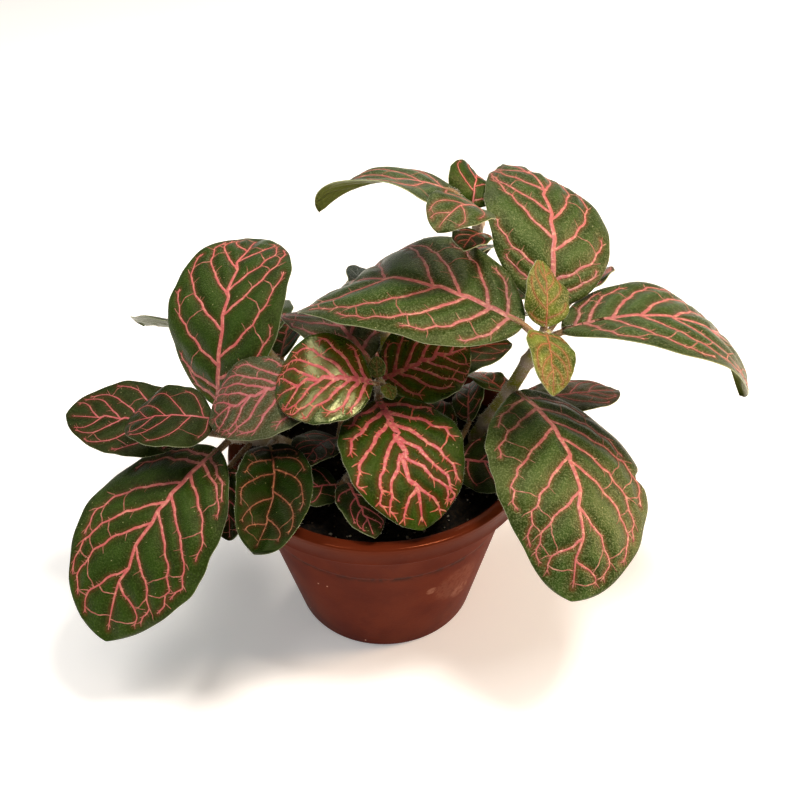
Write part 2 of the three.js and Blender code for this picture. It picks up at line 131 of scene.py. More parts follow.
# What the solids leave out. left, right: where the side veins leave the midrib, as shares of its
# length, on the leaf's left and right seen along the midrib. coarse: how thick its veins are. sweep:
# how far they reach. linked: how often they join the next one. blunt: how much rounder its tip is.
# dents: changes of the margin, each by its place along the leaf, its side (1 left, -1 right), its
# depth and its length in millimetres.
BOLD_VEINS = dict(coarse=1.9, sweep=1.3, linked=0.4)
LEAF_LOOKS = dict(
    leaf_left_front=dict(
        left=[0.05, 0.09, 0.17, 0.29, 0.38, 0.56, 0.73], right=[0.05, 0.1, 0.22, 0.33, 0.44, 0.66]),
    leaf_left_tall=dict(
        left=[0.03, 0.08, 0.19, 0.35, 0.51, 0.66, 0.8], right=[0.05, 0.13, 0.23, 0.42, 0.54, 0.71]),
    # The next leaves take the deep finish, a darker copy that paints the shade they lie in.
    leaf_left_outer=dict(finish="deep", coarse=0.9),
    leaf_left_inner=dict(finish="deep", coarse=0.75),
    leaf_left_rim=dict(finish="deep"),
    leaf_front_small=dict(finish="deep", coarse=1.2),
    leaf_front_left=dict(finish="deep"),
    leaf_shade=dict(finish="deep"),
    leaf_low_front=dict(finish="deep"),
    leaf_edge=dict(finish="deep"),
    leaf_right_front=dict(
        finish="painted_sheen", blunt=0.6, dents=[(0.475, 1, 3, 2), (0.56, 1, -1.4, 6)],
        left=[0.05, 0.13, 0.21, 0.31, 0.43, 0.63, 0.84], right=[0.05, 0.13, 0.25, 0.4, 0.56, 0.75]),
    leaf_right_back=dict(finish="grey", coarse=0.8),
    leaf_top_left=dict(
        finish="painted_sheen", dents=[(0.3, 1, -0.6, 7), (0.62, -1, 0.8, 5)],
        left=[0.06, 0.14, 0.24, 0.36, 0.57, 0.75], right=[0.07, 0.15, 0.27, 0.38, 0.59, 0.78]),
    leaf_top_back=dict(
        finish="painted_sheen",
        left=[0.08, 0.14, 0.32, 0.45, 0.59, 0.74], right=[0.06, 0.12, 0.26, 0.41, 0.57, 0.75]),
    leaf_top_right=dict(
        finish="painted_sheen", dents=[(0.4, -1, -0.7, 8), (0.6, 1, 0.7, 5)],
        left=[0.05, 0.1, 0.19, 0.3, 0.42, 0.6, 0.77], right=[0.09, 0.18, 0.29, 0.42, 0.58, 0.76]),
    leaf_tall_left=dict(finish="painted_sheen", coarse=0.8),
    leaf_tall_front=dict(finish="painted_sheen", coarse=0.8, left=[0.2, 0.5], right=[0.15, 0.42, 0.7]),
    leaf_tall_low=dict(coarse=0.7),
    leaf_inner_left=dict(
        finish="grey", coarse=1.7, sweep=1.2, linked=0.4,
        left=[0.05, 0.14, 0.26, 0.4, 0.56, 0.75], right=[0.08, 0.18, 0.28, 0.4, 0.53, 0.7]),
    leaf_back_left=dict(finish="grey", coarse=1.6, linked=0.4),
    leaf_back_top=dict(finish="slate", coarse=0.6),
    leaf_hanging=dict(
        finish="shaded", coarse=0.8, tip=0.6, blunt=0.8,
        left=[0.05, 0.12, 0.24, 0.45, 0.69], right=[0.04, 0.14, 0.28, 0.51, 0.74]),
    leaf_middle_front=dict(
        BOLD_VEINS, finish="fresh",
        left=[0.05, 0.13, 0.24, 0.36, 0.5, 0.68], right=[0.04, 0.12, 0.22, 0.34, 0.5, 0.72]),
    leaf_middle_left=dict(
        BOLD_VEINS, finish="bright",
        left=[0.05, 0.12, 0.2, 0.32, 0.46, 0.62], right=[0.05, 0.13, 0.22, 0.34, 0.5, 0.7]),
    leaf_middle_right=dict(
        BOLD_VEINS, finish="bright",
        left=[0.05, 0.14, 0.26, 0.4, 0.56, 0.74], right=[0.08, 0.18, 0.3, 0.45, 0.62]),
    young_leaf_up=dict(coarse=0.65),
    young_leaf_down=dict(coarse=0.65),
    bud_leaf_up=dict(coarse=0.25),
    bud_leaf_down=dict(coarse=0.25),
)


def grow(name, node, at, heading, rise, droop, length, width, **more):
    """A leaf: the point of its shoot's path that it grows from, where its midrib starts, its heading
    and slope there, how far it droops by its tip, its size, and what else sets it apart."""
    own = dict(
        name=name, node=node, at=at, heading=heading, rise=rise, droop=droop, length=length, width=width,
    )
    return {**LEAF_DEFAULTS, **own, **more, **LEAF_LOOKS.get(name, {})}


# The plant as the solids have it. Each shoot: its name, its radius, its path, which starts with the
# x and y of its foot in the soil, and its leaves.
SHOOTS = [
    ("shoot_right", 2.4,
     [[32.5, 6], [36, 4, 74], [43, 0, 90], [48, -4, 105], [51, -6.5, 113.5], [52, -8, 117.5]], [
        grow("leaf_right_front", 2, [45, -2, 91], 310, -2, 51, 78, 55, sway=-64, roll=-14, twist=-10, fold=-5,
             tip=0.71),
        grow("leaf_right_back", 2, [49, 8, 79.5], 10, 1, 21, 37, 23, sway=15, roll=-7, fold=2),
        grow("leaf_right_small", 1, [43, 10, 81.5], 130, 6, 49, 23, 14, sway=-26, roll=13),
        grow("leaf_top_left", 4, [45, -10, 123], 164, 24, 84, 80, 52, sway=-27, roll=-15, twist=19, fold=1,
             foldTip=4, tip=0.45),
        grow("leaf_top_back", 4, [54.5, 5, 119.5], 73, 53, 82, 70, 43, sway=51, roll=16, fold=5, foldTip=-20,
             tip=0.72),
        grow("leaf_top_right", 4, [57.5, -6.5, 118], 2, 18, 108, 83, 49, sway=8, roll=-14, twist=19, fold=12,
             foldTip=-22, tip=0.8),
        grow("leaf_top_hidden", 3, [63, 14, 116], 49, 8, 26, 27, 14, sway=11, roll=-26),
        grow("young_leaf_up", 5, [52, -8.5, 121], 81, 60, 46, 22, 17, young=True, sway=20, roll=16, twist=33,
             fold=6),
        grow("young_leaf_down", 5, [51.5, -13, 121.5], 269, 18, 70, 27, 16, young=True, roll=-15, twist=-18,
             fold=10),
    ]),
    ("shoot_tall", 2.2,
     [[16, 38], [17, 40, 80], [22, 40, 100], [28, 34, 117], [32, 25, 134], [32.5, 20, 142]], [
        grow("leaf_rear_low", 1, [22, 46, 82], 50, 8, 62, 52, 34, sway=-10, roll=-4),
        grow("leaf_rear_middle", 2, [16, 46.5, 98.5], 114, 2, 84, 54, 35, sway=12, roll=4),
        grow("leaf_rear_right", 2, [28, 41.5, 100], 27, 5, 80, 54, 35, sway=25, roll=-5),
        grow("leaf_rear_upper", 3, [26.5, 41.5, 116], 82, -4, 80, 41, 26, sway=4, roll=3),
        grow("leaf_tall_left", 5, [24.5, 16, 155], 178, 23, 72, 45, 36, sway=10, roll=3, twist=33, fold=-7,
             foldTip=31),
        grow("leaf_tall_back", 5, [31.5, 33.5, 140], 80, 60, 110, 18, 20, roll=20, twist=20),
        grow("leaf_tall_front", 5, [33.5, 11, 150.5], 229, 43, 76, 29, 19, sway=9, roll=-6, twist=-11,
             fold=4),
        grow("leaf_tall_low", 4, [33.5, 14.5, 141], 241, 26, 29, 20, 12, sway=13, roll=-6),
    ]),
    ("shoot_left", 2.3, [[-24, 0], [-34, -3.5, 72], [-42, -6, 76.5], [-49, -8, 79.5], [-52, -8.5, 85]], [
        grow("leaf_left_tall", 4, [-56, 10, 78], 80, 71, 99, 75, 46, sway=-4, roll=-29, twist=30, fold=4),
        grow("leaf_left_outer", 3, [-64, -0.5, 76], 177, 14, 19, 43, 31, sway=-2, roll=-15, fold=7),
        grow("leaf_left_inner", 4, [-54, -10, 88], 193, 23, 58, 30, 30, sway=-18, roll=-10, twist=14, fold=4),
        grow("leaf_left_front", 3, [-53.5, -12, 77], 220, -17, 46, 73, 52, sway=26, roll=7, twist=-20,
             fold=0),
        grow("leaf_left_rim", 2, [-50.5, -17.5, 73], 275, -25, 20, 24, 16, roll=20, twist=10),
    ]),
    ("shoot_back_left", 2, [[-26, 22], [-33, 25, 78], [-42, 31, 88], [-52, 35, 95]], [
        grow("leaf_rear_corner", 2, [-44.5, 38, 85], 100, 0, 60, 50, 32, sway=6, roll=-6),
        grow("leaf_edge", 3, [-60.5, 36, 94], 153, -16, 15, 42, 26, sway=-26, roll=34),
        grow("leaf_behind", 1, [-35.5, 31, 83], 83, 15, 37, 27, 21, sway=5, roll=-31, fold=12),
    ]),
    ("shoot_inner_left", 1.9, [[-11, 9], [-13, 6, 78], [-15, 2, 93]], [
        grow("leaf_inner_left", 2, [-22, -2, 98.5], 215, 10, 59, 38, 37, sway=-29, roll=-4, twist=-5, fold=0),
        grow("leaf_shade", 1, [-14.5, -5, 75], 236, 31, 42, 25, 17, sway=15),
    ]),
    ("shoot_middle", 2, [[2, 4], [0.5, 1, 78], [0.5, -3.5, 93], [0, -6, 98.5]], [
        grow("leaf_middle_left", 3, [-2, -13.5, 104.5], 194, 24, 82, 34, 32, sway=-27, roll=-26, twist=2,
             fold=6),
        grow("leaf_middle_right", 2, [0.5, 1.5, 94], 11, 23, 36, 33, 31, sway=21, roll=18, twist=19, fold=6),
        grow("leaf_middle_front", 2, [-0.5, -8.5, 93.5], 291, 1, 60, 49, 39, sway=-6, roll=-2, fold=5),
        grow("bud_leaf_up", 3, [-0.5, -7.5, 102], 92, 72, 20, 7, 5.5, young=True),
        grow("bud_leaf_down", 3, [2, -9.5, 100.5], 292, 5, 50, 6.5, 5, young=True),
    ]),
    ("shoot_back", 2, [[8, 20], [5, 17, 78], [2, 16, 88], [2, 24, 100], [1, 26, 107]], [
        grow("leaf_rear_left", 1, [1, 25, 82], 112, 12, 66, 56, 36, sway=-2, roll=4),
        grow("leaf_back_left", 2, [-4, 16, 92], 130, 33, 80, 43, 31, sway=11, roll=-5, twist=18),
        grow("leaf_back_right", 2, [13.5, 18.5, 87], 18, 15, 22, 34, 28, sway=-10, roll=8, twist=-15),
        grow("leaf_back_top", 3, [-1.5, 36.5, 102], 150, 62, 35, 16, 16, sway=4, roll=4, twist=4, fold=4),
    ]),
    ("shoot_front_left", 1.9, [[-22, -13], [-28, -13, 72], [-34, -12, 80]], [
        grow("leaf_hanging", 2, [-35.5, -18.5, 83], 285, -2, 6, 45, 26, sway=-35, roll=-4, twist=-15, fold=30,
             tip=0.8),
    ]),
    ("shoot_front", 1.6, [[-9, -14], [-10, -17, 69], [-11, -22, 72]], [
        grow("leaf_front_small", 2, [-10.5, -27, 74.5], 290, 2, 14, 25, 15, roll=-14),
        grow("leaf_front_left", 2, [-14, -24.5, 71.5], 203, 18, 22, 17, 16, roll=-15),
    ]),
    ("shoot_low_right", 1.6, [[20, -4], [22, -4.5, 68], [26, -5, 72]], [
        grow("leaf_low_front", 1, [25.5, -10, 69], 336, 13, 2, 33, 25, sway=-12, roll=17),
        grow("leaf_low_up", 2, [30, 1, 76.5], 90, 20, 55, 24, 12, sway=-11, roll=-28),
        grow("leaf_low_left", 1, [24, -2, 72.5], 130, 20, 51, 24, 13, sway=-47),
    ]),
]


def linear(colour):
    """An sRGB hex colour as linear values: c / 12.92 up to 0.04045, else ((c + 0.055) / 1.055) ** 2.4."""
    channels = np.array([int(colour[i:i + 2], 16) for i in (1, 3, 5)]) / 255
    values = np.where(channels <= 0.04045, channels / 12.92, ((channels + 0.055) / 1.055) ** 2.4)
    return (*values, 1)


def rad(degrees):
    """Degrees in radians."""
    return np.radians(degrees)


def unit(vectors):
    """The vectors with their lengths made 1."""
    return vectors / np.linalg.norm(vectors, axis=-1, keepdims=True)


def turns(count):
    """Angles that divide a full turn evenly."""
    return 2 * np.pi * np.arange(count) / count


def left_of(along):
    """Flat directions turned left by a right angle: (x, y) becomes (-y, x)."""
    return np.stack([-along[..., 1], along[..., 0]], axis=-1)


def lengths_of(path):
    """Lengths of the path's stretches."""
    return np.linalg.norm(np.diff(path, axis=0), axis=1)


def mixed_at(at, run, rows):
    """The rows at places along a run, each mixed from the two rows next to it."""
    return np.stack([np.interp(at, run, column) for column in rows.T], axis=-1)


def spokes(first, second, count):
    """Spokes all round each place, at even angles: cos angle first + sin angle second."""
    angle = turns(count)
    return np.cos(angle)[:, None] * first[:, None] + np.sin(angle)[:, None] * second[:, None]


def round_axis(radius, angle, height):
    """Points about the upright axis: (radius cos angle, radius sin angle, height)."""
    x = radius * np.cos(angle)
    return np.stack([x, radius * np.sin(angle), np.broadcast_to(height, x.shape)], axis=-1)


def by_size(leaf, large, middle, tiny):
    """One of three values, for a leaf of this length."""
    return large if leaf.length > LARGE_LEAF else middle if leaf.length > TINY_LEAF else tiny


def ease(x):
    """A smooth step: 3 x^2 - 2 x^3, held between 0 and 1."""
    x = np.clip(x, 0, 1)
    return x * x * (3 - 2 * x)


def grid_quads(index):
    """Quads between neighbouring rows and columns of a grid of vertex numbers."""
    corners = [index[:-1, :-1], index[1:, :-1], index[1:, 1:], index[:-1, 1:]]
    return np.stack(corners, axis=-1).reshape(-1, 4)


def ring_quads(index):
    """Quads of a grid of vertex numbers whose last column meets its first."""
    return grid_quads(np.hstack([index, index[:, :1]]))


def closed_rings(rings):
    """A body through rings of points (ring, point, xyz), closed by a fan at each end."""
    count, sides = rings.shape[:2]
    index = np.arange(count * sides).reshape(count, sides)
    places = np.concatenate([rings.reshape(-1, 3), rings[[0, -1]].mean(axis=1)])
    first, last = index[0], index[-1]
    start = np.stack([np.full(sides, index.size), first, np.roll(first, -1)], axis=-1)
    end = np.stack([np.full(sides, index.size + 1), np.roll(last, -1), last], axis=-1)
    return places, [ring_quads(index), start, end]


def join(parts):
    """Joins bodies (places, faces, attributes) into one."""
    places, faces, marks, before = [], [], {}, 0
    for body_places, body_faces, body_marks in parts:
        places.append(body_places)
        faces += [rows + before for rows in body_faces]
        before += len(body_places)
        for name, values in body_marks.items():
            marks.setdefault(name, []).append(values)
    return np.concatenate(places), faces, {name: np.concatenate(values) for name, values in marks.items()}


def in_scene(name, data):
    """A new object in the scene."""
    thing = bpy.data.objects.new(name, data)
    bpy.context.scene.collection.objects.link(thing)
    return thing


def make_piece(name, body, material, replaced=()):
    """Puts a body into the scene as one object at the origin, riding on the plant's only body."""
    places, faces, marks = body
    sizes = np.concatenate([np.full(len(rows), rows.shape[1]) for rows in faces])
    mesh = bpy.data.meshes.new(name)
    mesh.vertices.add(len(places))
    mesh.vertices.foreach_set("co", (places * MM).astype(np.float32).ravel())
    mesh.loops.add(sizes.sum())
    mesh.loops.foreach_set("vertex_index", np.concatenate([rows.ravel() for rows in faces], dtype=np.int32))
    mesh.polygons.add(len(sizes))
    mesh.polygons.foreach_set("loop_start", (np.cumsum(sizes) - sizes).astype(np.int32))
    mesh.polygons.foreach_set("use_smooth", np.ones(len(sizes), bool))
    mesh.update(calc_edges=True)
    for mark, values in marks.items():
        mesh.attributes.new(mark, "FLOAT", "POINT").data.foreach_set("value", values.astype(np.float32))
    mesh.materials.append(material)
    piece = in_scene(name, mesh)
    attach(piece, "root")
    if replaced:
        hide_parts(*replaced)


def smooth_path(points, steps):
    """A Catmull-Rom curve through the points: each stretch is the cubic that leaves and arrives
    along half the difference between the neighbours on each side."""
    points = np.array(points, float)
    ends = np.vstack([2 * points[0] - points[1], points, 2 * points[-1] - points[-2]])
    at = np.linspace(0, len(points) - 1, steps + 1)
    k = np.minimum(at.astype(int), len(points) - 2)
    x = (at - k)[:, None]
    a, b, c, d = (ends[k + i] for i in range(4))
    straight = 2 * b + (c - a) * x
    return 0.5 * (straight + (2 * a - 5 * b + 4 * c - d) * x ** 2 + (3 * b - a - 3 * c + d) * x ** 3)


def tube_rings(path, radii, spoke=(1, 0.2, 0.1)):
    """Rings about a path, with a radius for each ring and side: place + radius (cos angle spoke + sin
    angle other). The spoke is the given one made square to the path, and the other is along x spoke."""
    along = unit(np.gradient(path, axis=0))
    spoke = unit(spoke - (spoke * along).sum(-1, keepdims=True) * along)
    return path[:, None] + radii[..., None] * spokes(spoke, np.cross(along, spoke), radii.shape[1])


# Leaf surface

def direction(leaf, s):
    """Which way the midrib runs at s: its heading turns by the sway and its slope falls by the droop."""
    heading = rad(leaf.heading + leaf.sway * s)
    slope = rad(leaf.rise - leaf.droop * s ** BEND_POWER)
    return round_axis(np.cos(slope), heading, np.sin(slope))


def midrib(leaf, s):
    """Place, side and up of the midrib at each s. The place adds up the direction over fine steps. The
    side is level and the up square to it and the direction, both then rolled about the direction."""
    fine = np.linspace(0, 1, 201)
    steps = direction(leaf, (fine[1:] + fine[:-1]) / 2) * leaf.length * np.diff(fine)[:, None]
    path = np.vstack([[leaf.at], leaf.at + np.cumsum(steps, axis=0)])
    place = mixed_at(s, fine, path)
    heading = rad(leaf.heading + leaf.sway * s)
    flat_side = np.stack([-np.sin(heading), np.cos(heading), 0 * s], axis=-1)
    flat_up = np.cross(direction(leaf, s), flat_side)
    roll = rad(leaf.roll + leaf.twist * s)[..., None]
    side = flat_side * np.cos(roll) + flat_up * np.sin(roll)
    up = flat_up * np.cos(roll) - flat_side * np.sin(roll)
    return place, side, up


def half_width(leaf, s, half=1):
    """Half the blade's width: s ** a (1 - s) ** b over its peak, with a gentle unevenness that differs
    from half to half, wider near a blunt tip, and less the bell-shaped dents."""
    a, b = BASE_ROUNDNESS, leaf.tip
    peak = a ** a * b ** b / (a + b) ** (a + b)
    width = leaf.width / 2 * s ** a * (1 - s) ** b / peak
    coarse = 0.012 * np.sin(17 * s + 2 * half + leaf.seed)
    fine = 0.008 * np.sin(41 * s + 3 * half + 2 * leaf.seed)
    width = width * (1 + coarse + fine) * (1 + leaf.blunt * np.exp((s - 1) * leaf.length / BLUNT_LENGTH))
    for at, side, depth, long in leaf.dents:
        bell = np.exp(-((s - at) * leaf.length / long) ** 2) * ease((1 - s) * leaf.length)
        width = width - (np.sign(half) == side) * depth * bell
    return np.maximum(width, 0)


def leaf_surface(leaf, s, t):
    """Point and normal of the thin blade: out from the midrib by the reach along side and up, leaning by
    the fold and less by the curl, with a wave of t^2 sin(WAVES pi s + half), highest at the margin."""
    place, side, up = midrib(leaf, s)
    half = np.sign(t)
    reach = (half_width(leaf, s, half) * np.abs(t))[..., None]
    lean = rad(leaf.fold + leaf.foldTip * s + CURL * np.abs(t) / 2)[..., None]
    wave = (leaf.wave * t * t * np.sin(WAVES * np.pi * s + half))[..., None]
    half = half[..., None]
    point = place + side * half * reach * np.cos(lean) + up * (reach * np.sin(lean) + wave)
    return point, up * np.cos(lean) - side * half * np.sin(lean)


# Veins, drawn flat: u runs along the midrib and v to the left of it, in millimetres

def wander(path, amount, rng):
    """The path with a sideways wobble of two sine waves of the WOBBLES' lengths, none at its ends."""
    run = np.append(0, np.cumsum(lengths_of(path)))
    across = left_of(unit(np.gradient(path, axis=0)))
    phases = rng.uniform(0, 2 * np.pi, 2)
    slow, fast = (np.sin(run * 2 * np.pi / long + phase) for long, phase in zip(WOBBLES, phases))
    wobble = slow + 0.6 * fast
    ends = ease(run / 2) * ease((run[-1] - run) / 2)
    return path + across * (amount * wobble * ends)[:, None]


def bend(start, leave, arrive, end, steps):
    """A cubic Bezier curve from start to end by two control points, as steps + 1 points."""
    x = np.linspace(0, 1, steps + 1)[:, None]
    points = [np.array(p, float) for p in (start, leave, arrive, end)]
    shares = [(1 - x) ** 3, 3 * x * (1 - x) ** 2, 3 * x * x * (1 - x), x ** 3]
    return sum(share * point for share, point in zip(shares, points))


def at_share(path, share):
    """The point of a path and its direction, the share of the way along."""
    k = int(np.clip(share, 0, 0.999) * (len(path) - 1))
    return path[k], unit(path[k + 1] - path[k])


def vein_starts(leaf, rng):
    """Where the side veins leave the midrib on each side: as given, or else evenly with the two sides
    out of step."""
    pairs = 3 + sum(leaf.length > limit for limit in MORE_VEINS_FROM)
    sides = {}
    for half, given, late in ((1, leaf.left, 0.0), (-1, leaf.right, 0.35)):
        rule = 0.05 + 0.78 * ((np.arange(pairs) + late) / pairs) + rng.uniform(-0.015, 0.015, pairs)
        sides[half] = np.array(given) if given else rule
    return sides


def vein_network(leaf, rng):
    """All veins of a leaf as (path, widths, rank): the midrib, its side veins, the finer ones that leave
    these at their kinks and link them into loops, and the ends and thorns that stop short."""
    size = (leaf.length / FULL_LENGTH) ** 0.7 * leaf.coarse
    sides = vein_starts(leaf, rng)
    shift = midrib_shift(sides, size)
    s = np.linspace(0, 0.95, 60)
    rib = np.stack([s * leaf.length, shift(s)], axis=-1)
    widths = size * (2.4 * (1 - s) ** 0.8 + 0.45 * (1 - s ** 8))
    veins = [(rib, widths, 0), *thorns(rib, size, rng), *forked_end(rib, size, rng)]
    for half, starts in sides.items():
        arcs = [side_vein(leaf, shift, s0, half, size, rng) for s0 in starts]
        for k, (path, widths, kinks) in enumerate(arcs):
            onward = arcs[k + 1][0] if k + 1 < len(arcs) else rib
            veins += [(path, widths, 1), *thorns(path, size, rng), *forked_end(path, size, rng)]
            for share, inward in kinks:
                if inward:
                    veins += link_or_stub(leaf, path, share, onward, size, rng)
                elif k == 0 or share > 0.6:
                    veins += outer_branch(leaf, path, share, half, size, rng)
    return veins


def midrib_shift(sides, size):
    """How far to the left the midrib lies at s: at each side vein it turns to the other side, by
    RIB_SHIFT times s and the veins' size, and between them it runs straight."""
    joints = sorted((s, half) for half, starts in sides.items() for s in starts)
    knots = [0, *(s for s, half in joints), 1]
    shifts = [0, *(-RIB_SHIFT * half * size * s for s, half in joints), 0]
    return lambda s: np.interp(s, knots, shifts)


def side_vein(leaf, shift, s0, half, size, rng):
    """A side vein from s0, its widths, and its kinks as (share of its length, whether inward). It leaves
    at 70 - 50 s0 degrees, or less by the sweep, and soon turns towards the tip. It ends along the margin,
    after a part of the rest of the leaf of 0.86 (1 - exp(-(s0 sweep / 0.22)^1.5)). At each kink it bulges
    to one side."""

    def spot(s, t):
        return np.array([s * leaf.length, shift(s) + t * half_width(leaf, s, half)])

    part = 0.86 * (1 - np.exp(-(s0 * leaf.sweep / 0.22) ** 1.5)) * rng.uniform(0.94, 1.04)
    s1 = s0 + max((0.94 - s0) * part, 0.14 * leaf.sweep * (1 - s0))
    t1 = half * (rng.uniform(0.82, 0.88) - 0.5 * max(s0 - 0.4, 0))
    start, end = spot(s0, 0), spot(s1, t1)
    chord = np.linalg.norm(end - start)
    opening = rad((70 - 50 * s0) / leaf.sweep)
    leave = start + 0.3 * chord * np.array([np.cos(opening), half * np.sin(opening)])
    margin = unit(spot(min(s1 + 0.02, 0.985), t1) - spot(s1 - 0.04, t1))
    steps = max(8, int(chord * 1.2))
    path = bend(start, leave, end - 0.4 / leaf.sweep ** 2 * chord * margin, end, steps)
    share = np.linspace(0, 1, steps + 1)
    count = max(2, int(chord / KINK_SPACING))
    at = np.linspace(0.3, 0.93, count) + rng.uniform(-0.04, 0.04, count)
    inward = (np.arange(count) + rng.integers(0, 2)) % 2 == 0
    bulge = np.where(inward, -half, half) * size * (0.25 + 0.4 * at) * rng.uniform(0.6, 1.1, count)
    across = left_of(unit(np.gradient(path, axis=0)))
    path = path + across * np.interp(share, [0, 0.15, *at, 1], [0, 0, *bulge, 0])[:, None]
    uneven = 1 + 0.12 * np.sin(share * 19 + s0 * 40)
    widths = size * (1.75 - 0.7 * s0) * (1 - 0.62 * share) * uneven
    return wander(path, 0.12 * size, rng), widths, list(zip(at, inward))


def joined(start, along, end, widest, narrowest, rank, rng):
    """A fine vein from start, which it leaves half forwards, to end, where it arrives straight on."""
    gap = end - start
    long = np.linalg.norm(gap)
    leave = start + 0.4 * long * unit(unit(gap) + 0.7 * along)
    steps = max(4, int(long / 0.8))
    path = wander(bend(start, leave, end - 0.3 * gap, end, steps), 0.16, rng)
    return path, np.linspace(widest, narrowest, steps + 1), rank


def link_or_stub(leaf, path, share, onward, size, rng):
    """From a kink towards the tip: a link to the nearest point of the next vein, or a stub that ends on
    the way there."""
    start, along = at_share(path, share)
    near = np.argmin(np.linalg.norm(onward - start, axis=1))
    end = onward[min(near + 1, len(onward) - 1)]
    gap = np.linalg.norm(end - start)
    if gap < 1.2:
        return []
    if gap < LINK_REACH and share > 0.5 and rng.uniform() < leaf.linked:
        return [joined(start, along, end, 0.64 * size, 0.45 * size, 2, rng)]
    long = min(gap * 0.5, size * rng.uniform(2, 3.6))
    end = start + (end - start) / gap * long + along * rng.uniform(0, 1.5)
    return [joined(start, along, end, 0.55 * size, 0.2 * size, 2.4, rng)]


def outer_branch(leaf, path, share, half, size, rng):
    """From a kink towards the margin: a branch that stops two thirds of the way there."""
    start, along = at_share(path, share)
    across = left_of(along) * half
    room = half_width(leaf, start[0] / leaf.length, half) - abs(start[1])
    long = min(size * rng.uniform(2.2, 4.5), room * 0.66)
    if long < 0.8:
        return []
    end = start + long * unit(along * rng.uniform(0.6, 1.4) + across)
    return [joined(start, across, end, 0.6 * size, 0.22 * size, 2, rng)]


def forked_end(path, size, rng):
    """The end of a vein, parted in two."""
    start, along = at_share(path, 0.97)
    across = left_of(along)
    ends = [start + rng.uniform(1.3, 2.6) * size * unit(along + side * across) for side in (-0.6, 0.4)]
    return [joined(start, along, end, 0.55 * size, 0.2 * size, 2, rng) for end in ends]


def thorns(path, size, rng):
    """Thorn-like spurs of about a millimetre on either side, at random places, one for each stretch of
    THORN_SPACING."""
    made = []
    for share in rng.uniform(0.05, 0.9, int(lengths_of(path).sum() / THORN_SPACING)):
        start, along = at_share(path, share)
        across = left_of(along) * rng.choice([-1, 1])
        end = start + size ** 0.5 * rng.uniform(0.8, 1.6) * unit(along * 0.4 + across)
        made.append((np.linspace(start, end, 3), size * np.array([0.6, 0.3, 0.1]), 2.4))
    return made


def distance_to(points, paths):
    """Distance in the flat leaf from each point to the nearest stretch of the paths."""
    a = np.concatenate([path[:-1] for path in paths])
    ab = np.concatenate([np.diff(path, axis=0) for path in paths])
    to = points[:, None] - a
    share = np.clip((to * ab).sum(-1) / np.maximum((ab * ab).sum(-1), 1e-9), 0, 1)
    return np.linalg.norm(to - share[..., None] * ab, axis=-1).min(axis=1)


def blade_grid(leaf, veins):
    """The blade's upper face on a grid. Rows are closer at both ends and columns at the margins. Between
    the veins the blade swells by PUFF, as 1 - exp(-(distance / PUFF_REACH)^2), and less near the margin
    and on a leaf under FULL_PUFF_LENGTH."""
    rows, columns = by_size(leaf, (90, 60), (50, 30), (16, 10))
    s = (1 - np.cos(np.pi * np.arange(rows + 1) / rows)) / 2
    x = np.linspace(-1, 1, columns + 1)
    t = np.sign(x) * (1 - (1 - np.abs(x)) ** EDGE_POWER)
    s, t = np.meshgrid(s, t, indexing="ij")
    point, normal = leaf_surface(leaf, s, t)
    flat = np.stack([s * leaf.length, t * half_width(leaf, s, np.sign(t))], axis=-1).reshape(-1, 2)
    strong = [path for path, widths, rank in veins if rank < 2]
    near = distance_to(flat, strong).reshape(s.shape)
    rib = distance_to(flat, strong[:1]).reshape(s.shape)
    swell = (1 - np.exp(-(near / PUFF_REACH) ** 2)) * (1 - t ** 8)
    point = point + normal * (PUFF * min(1, leaf.length / FULL_PUFF_LENGTH) * swell)[..., None]
    return SimpleNamespace(s=s, t=t, point=point, normal=normal, near=near, rib=rib, swell=swell)


def blade_body(leaf, grid):
    """The closed blade: each row is a ring over the upper face, round the margin and back under, where
    ridges follow the veins. Its ends close in a point each."""
    s, t = grid.s, grid.t
    thin = (BLADE * (1 - 0.35 * t ** 4) / 2)[..., None]
    ridge = 0.45 * (1 - s) * np.exp(-(grid.rib / 1.1) ** 2) + 0.12 * np.exp(-(grid.near / 0.8) ** 2)
    upper = grid.point + grid.normal * thin
    under = grid.point - grid.normal * (thin + ridge[..., None])
    place, side, _ = midrib(leaf, s[:, 0])
    left, right = grid.point[:, -1] + side * RIM_BULGE, grid.point[:, 0] - side * RIM_BULGE
    rings = np.concatenate([upper, left[:, None], under[:, ::-1], right[:, None]], axis=1)[1:-1]

    def round_ring(over, below, at_margin):
        """One mark for every point of the rings: over the blade, at the margins, below, and its ends."""
        margin = np.full((len(s), 1), at_margin)
        ring = np.concatenate([over, margin, below[:, ::-1], margin], axis=1)[1:-1]
        return np.concatenate([ring.ravel(), [at_margin, at_margin]])

    zero, one = np.zeros(s.shape), np.ones(s.shape)
    halo = np.exp(-(grid.near / ((1 + 0.45 * leaf.coarse) * min(1, leaf.length / 30))) ** 2)
    rim = (np.abs(t) > 0.999) * 0.5
    marks = dict(
        edge=round_ring(rim, rim, 1.0),
        below=round_ring(zero, one, 0.5),
        halo=round_ring(halo, halo, 0.0),
        swell=round_ring(grid.swell, zero, 0.0),
    )
    places, faces = closed_rings(rings)
    places[-2:] = place[[0, -1]]
    marks["stalk"] = np.zeros(len(places))
    return places, faces, marks


def stalk_path(leaf, node):
    """The leaf stalk's points: from the node it bends into the underside of the midrib, and follows it
    for nearly a quarter of the leaf."""
    place, _, up = midrib(leaf, np.array([0, 0.0381, 0.0843, 0.2222]))
    under = place - up * STALK_SINK
    bend_at = node + (under[0] - node) * 0.55 + (place[0] - place[1]) * 0.4
    return smooth_path([node, bend_at, *under[[0, 2, 3]]], STALK_STEPS)


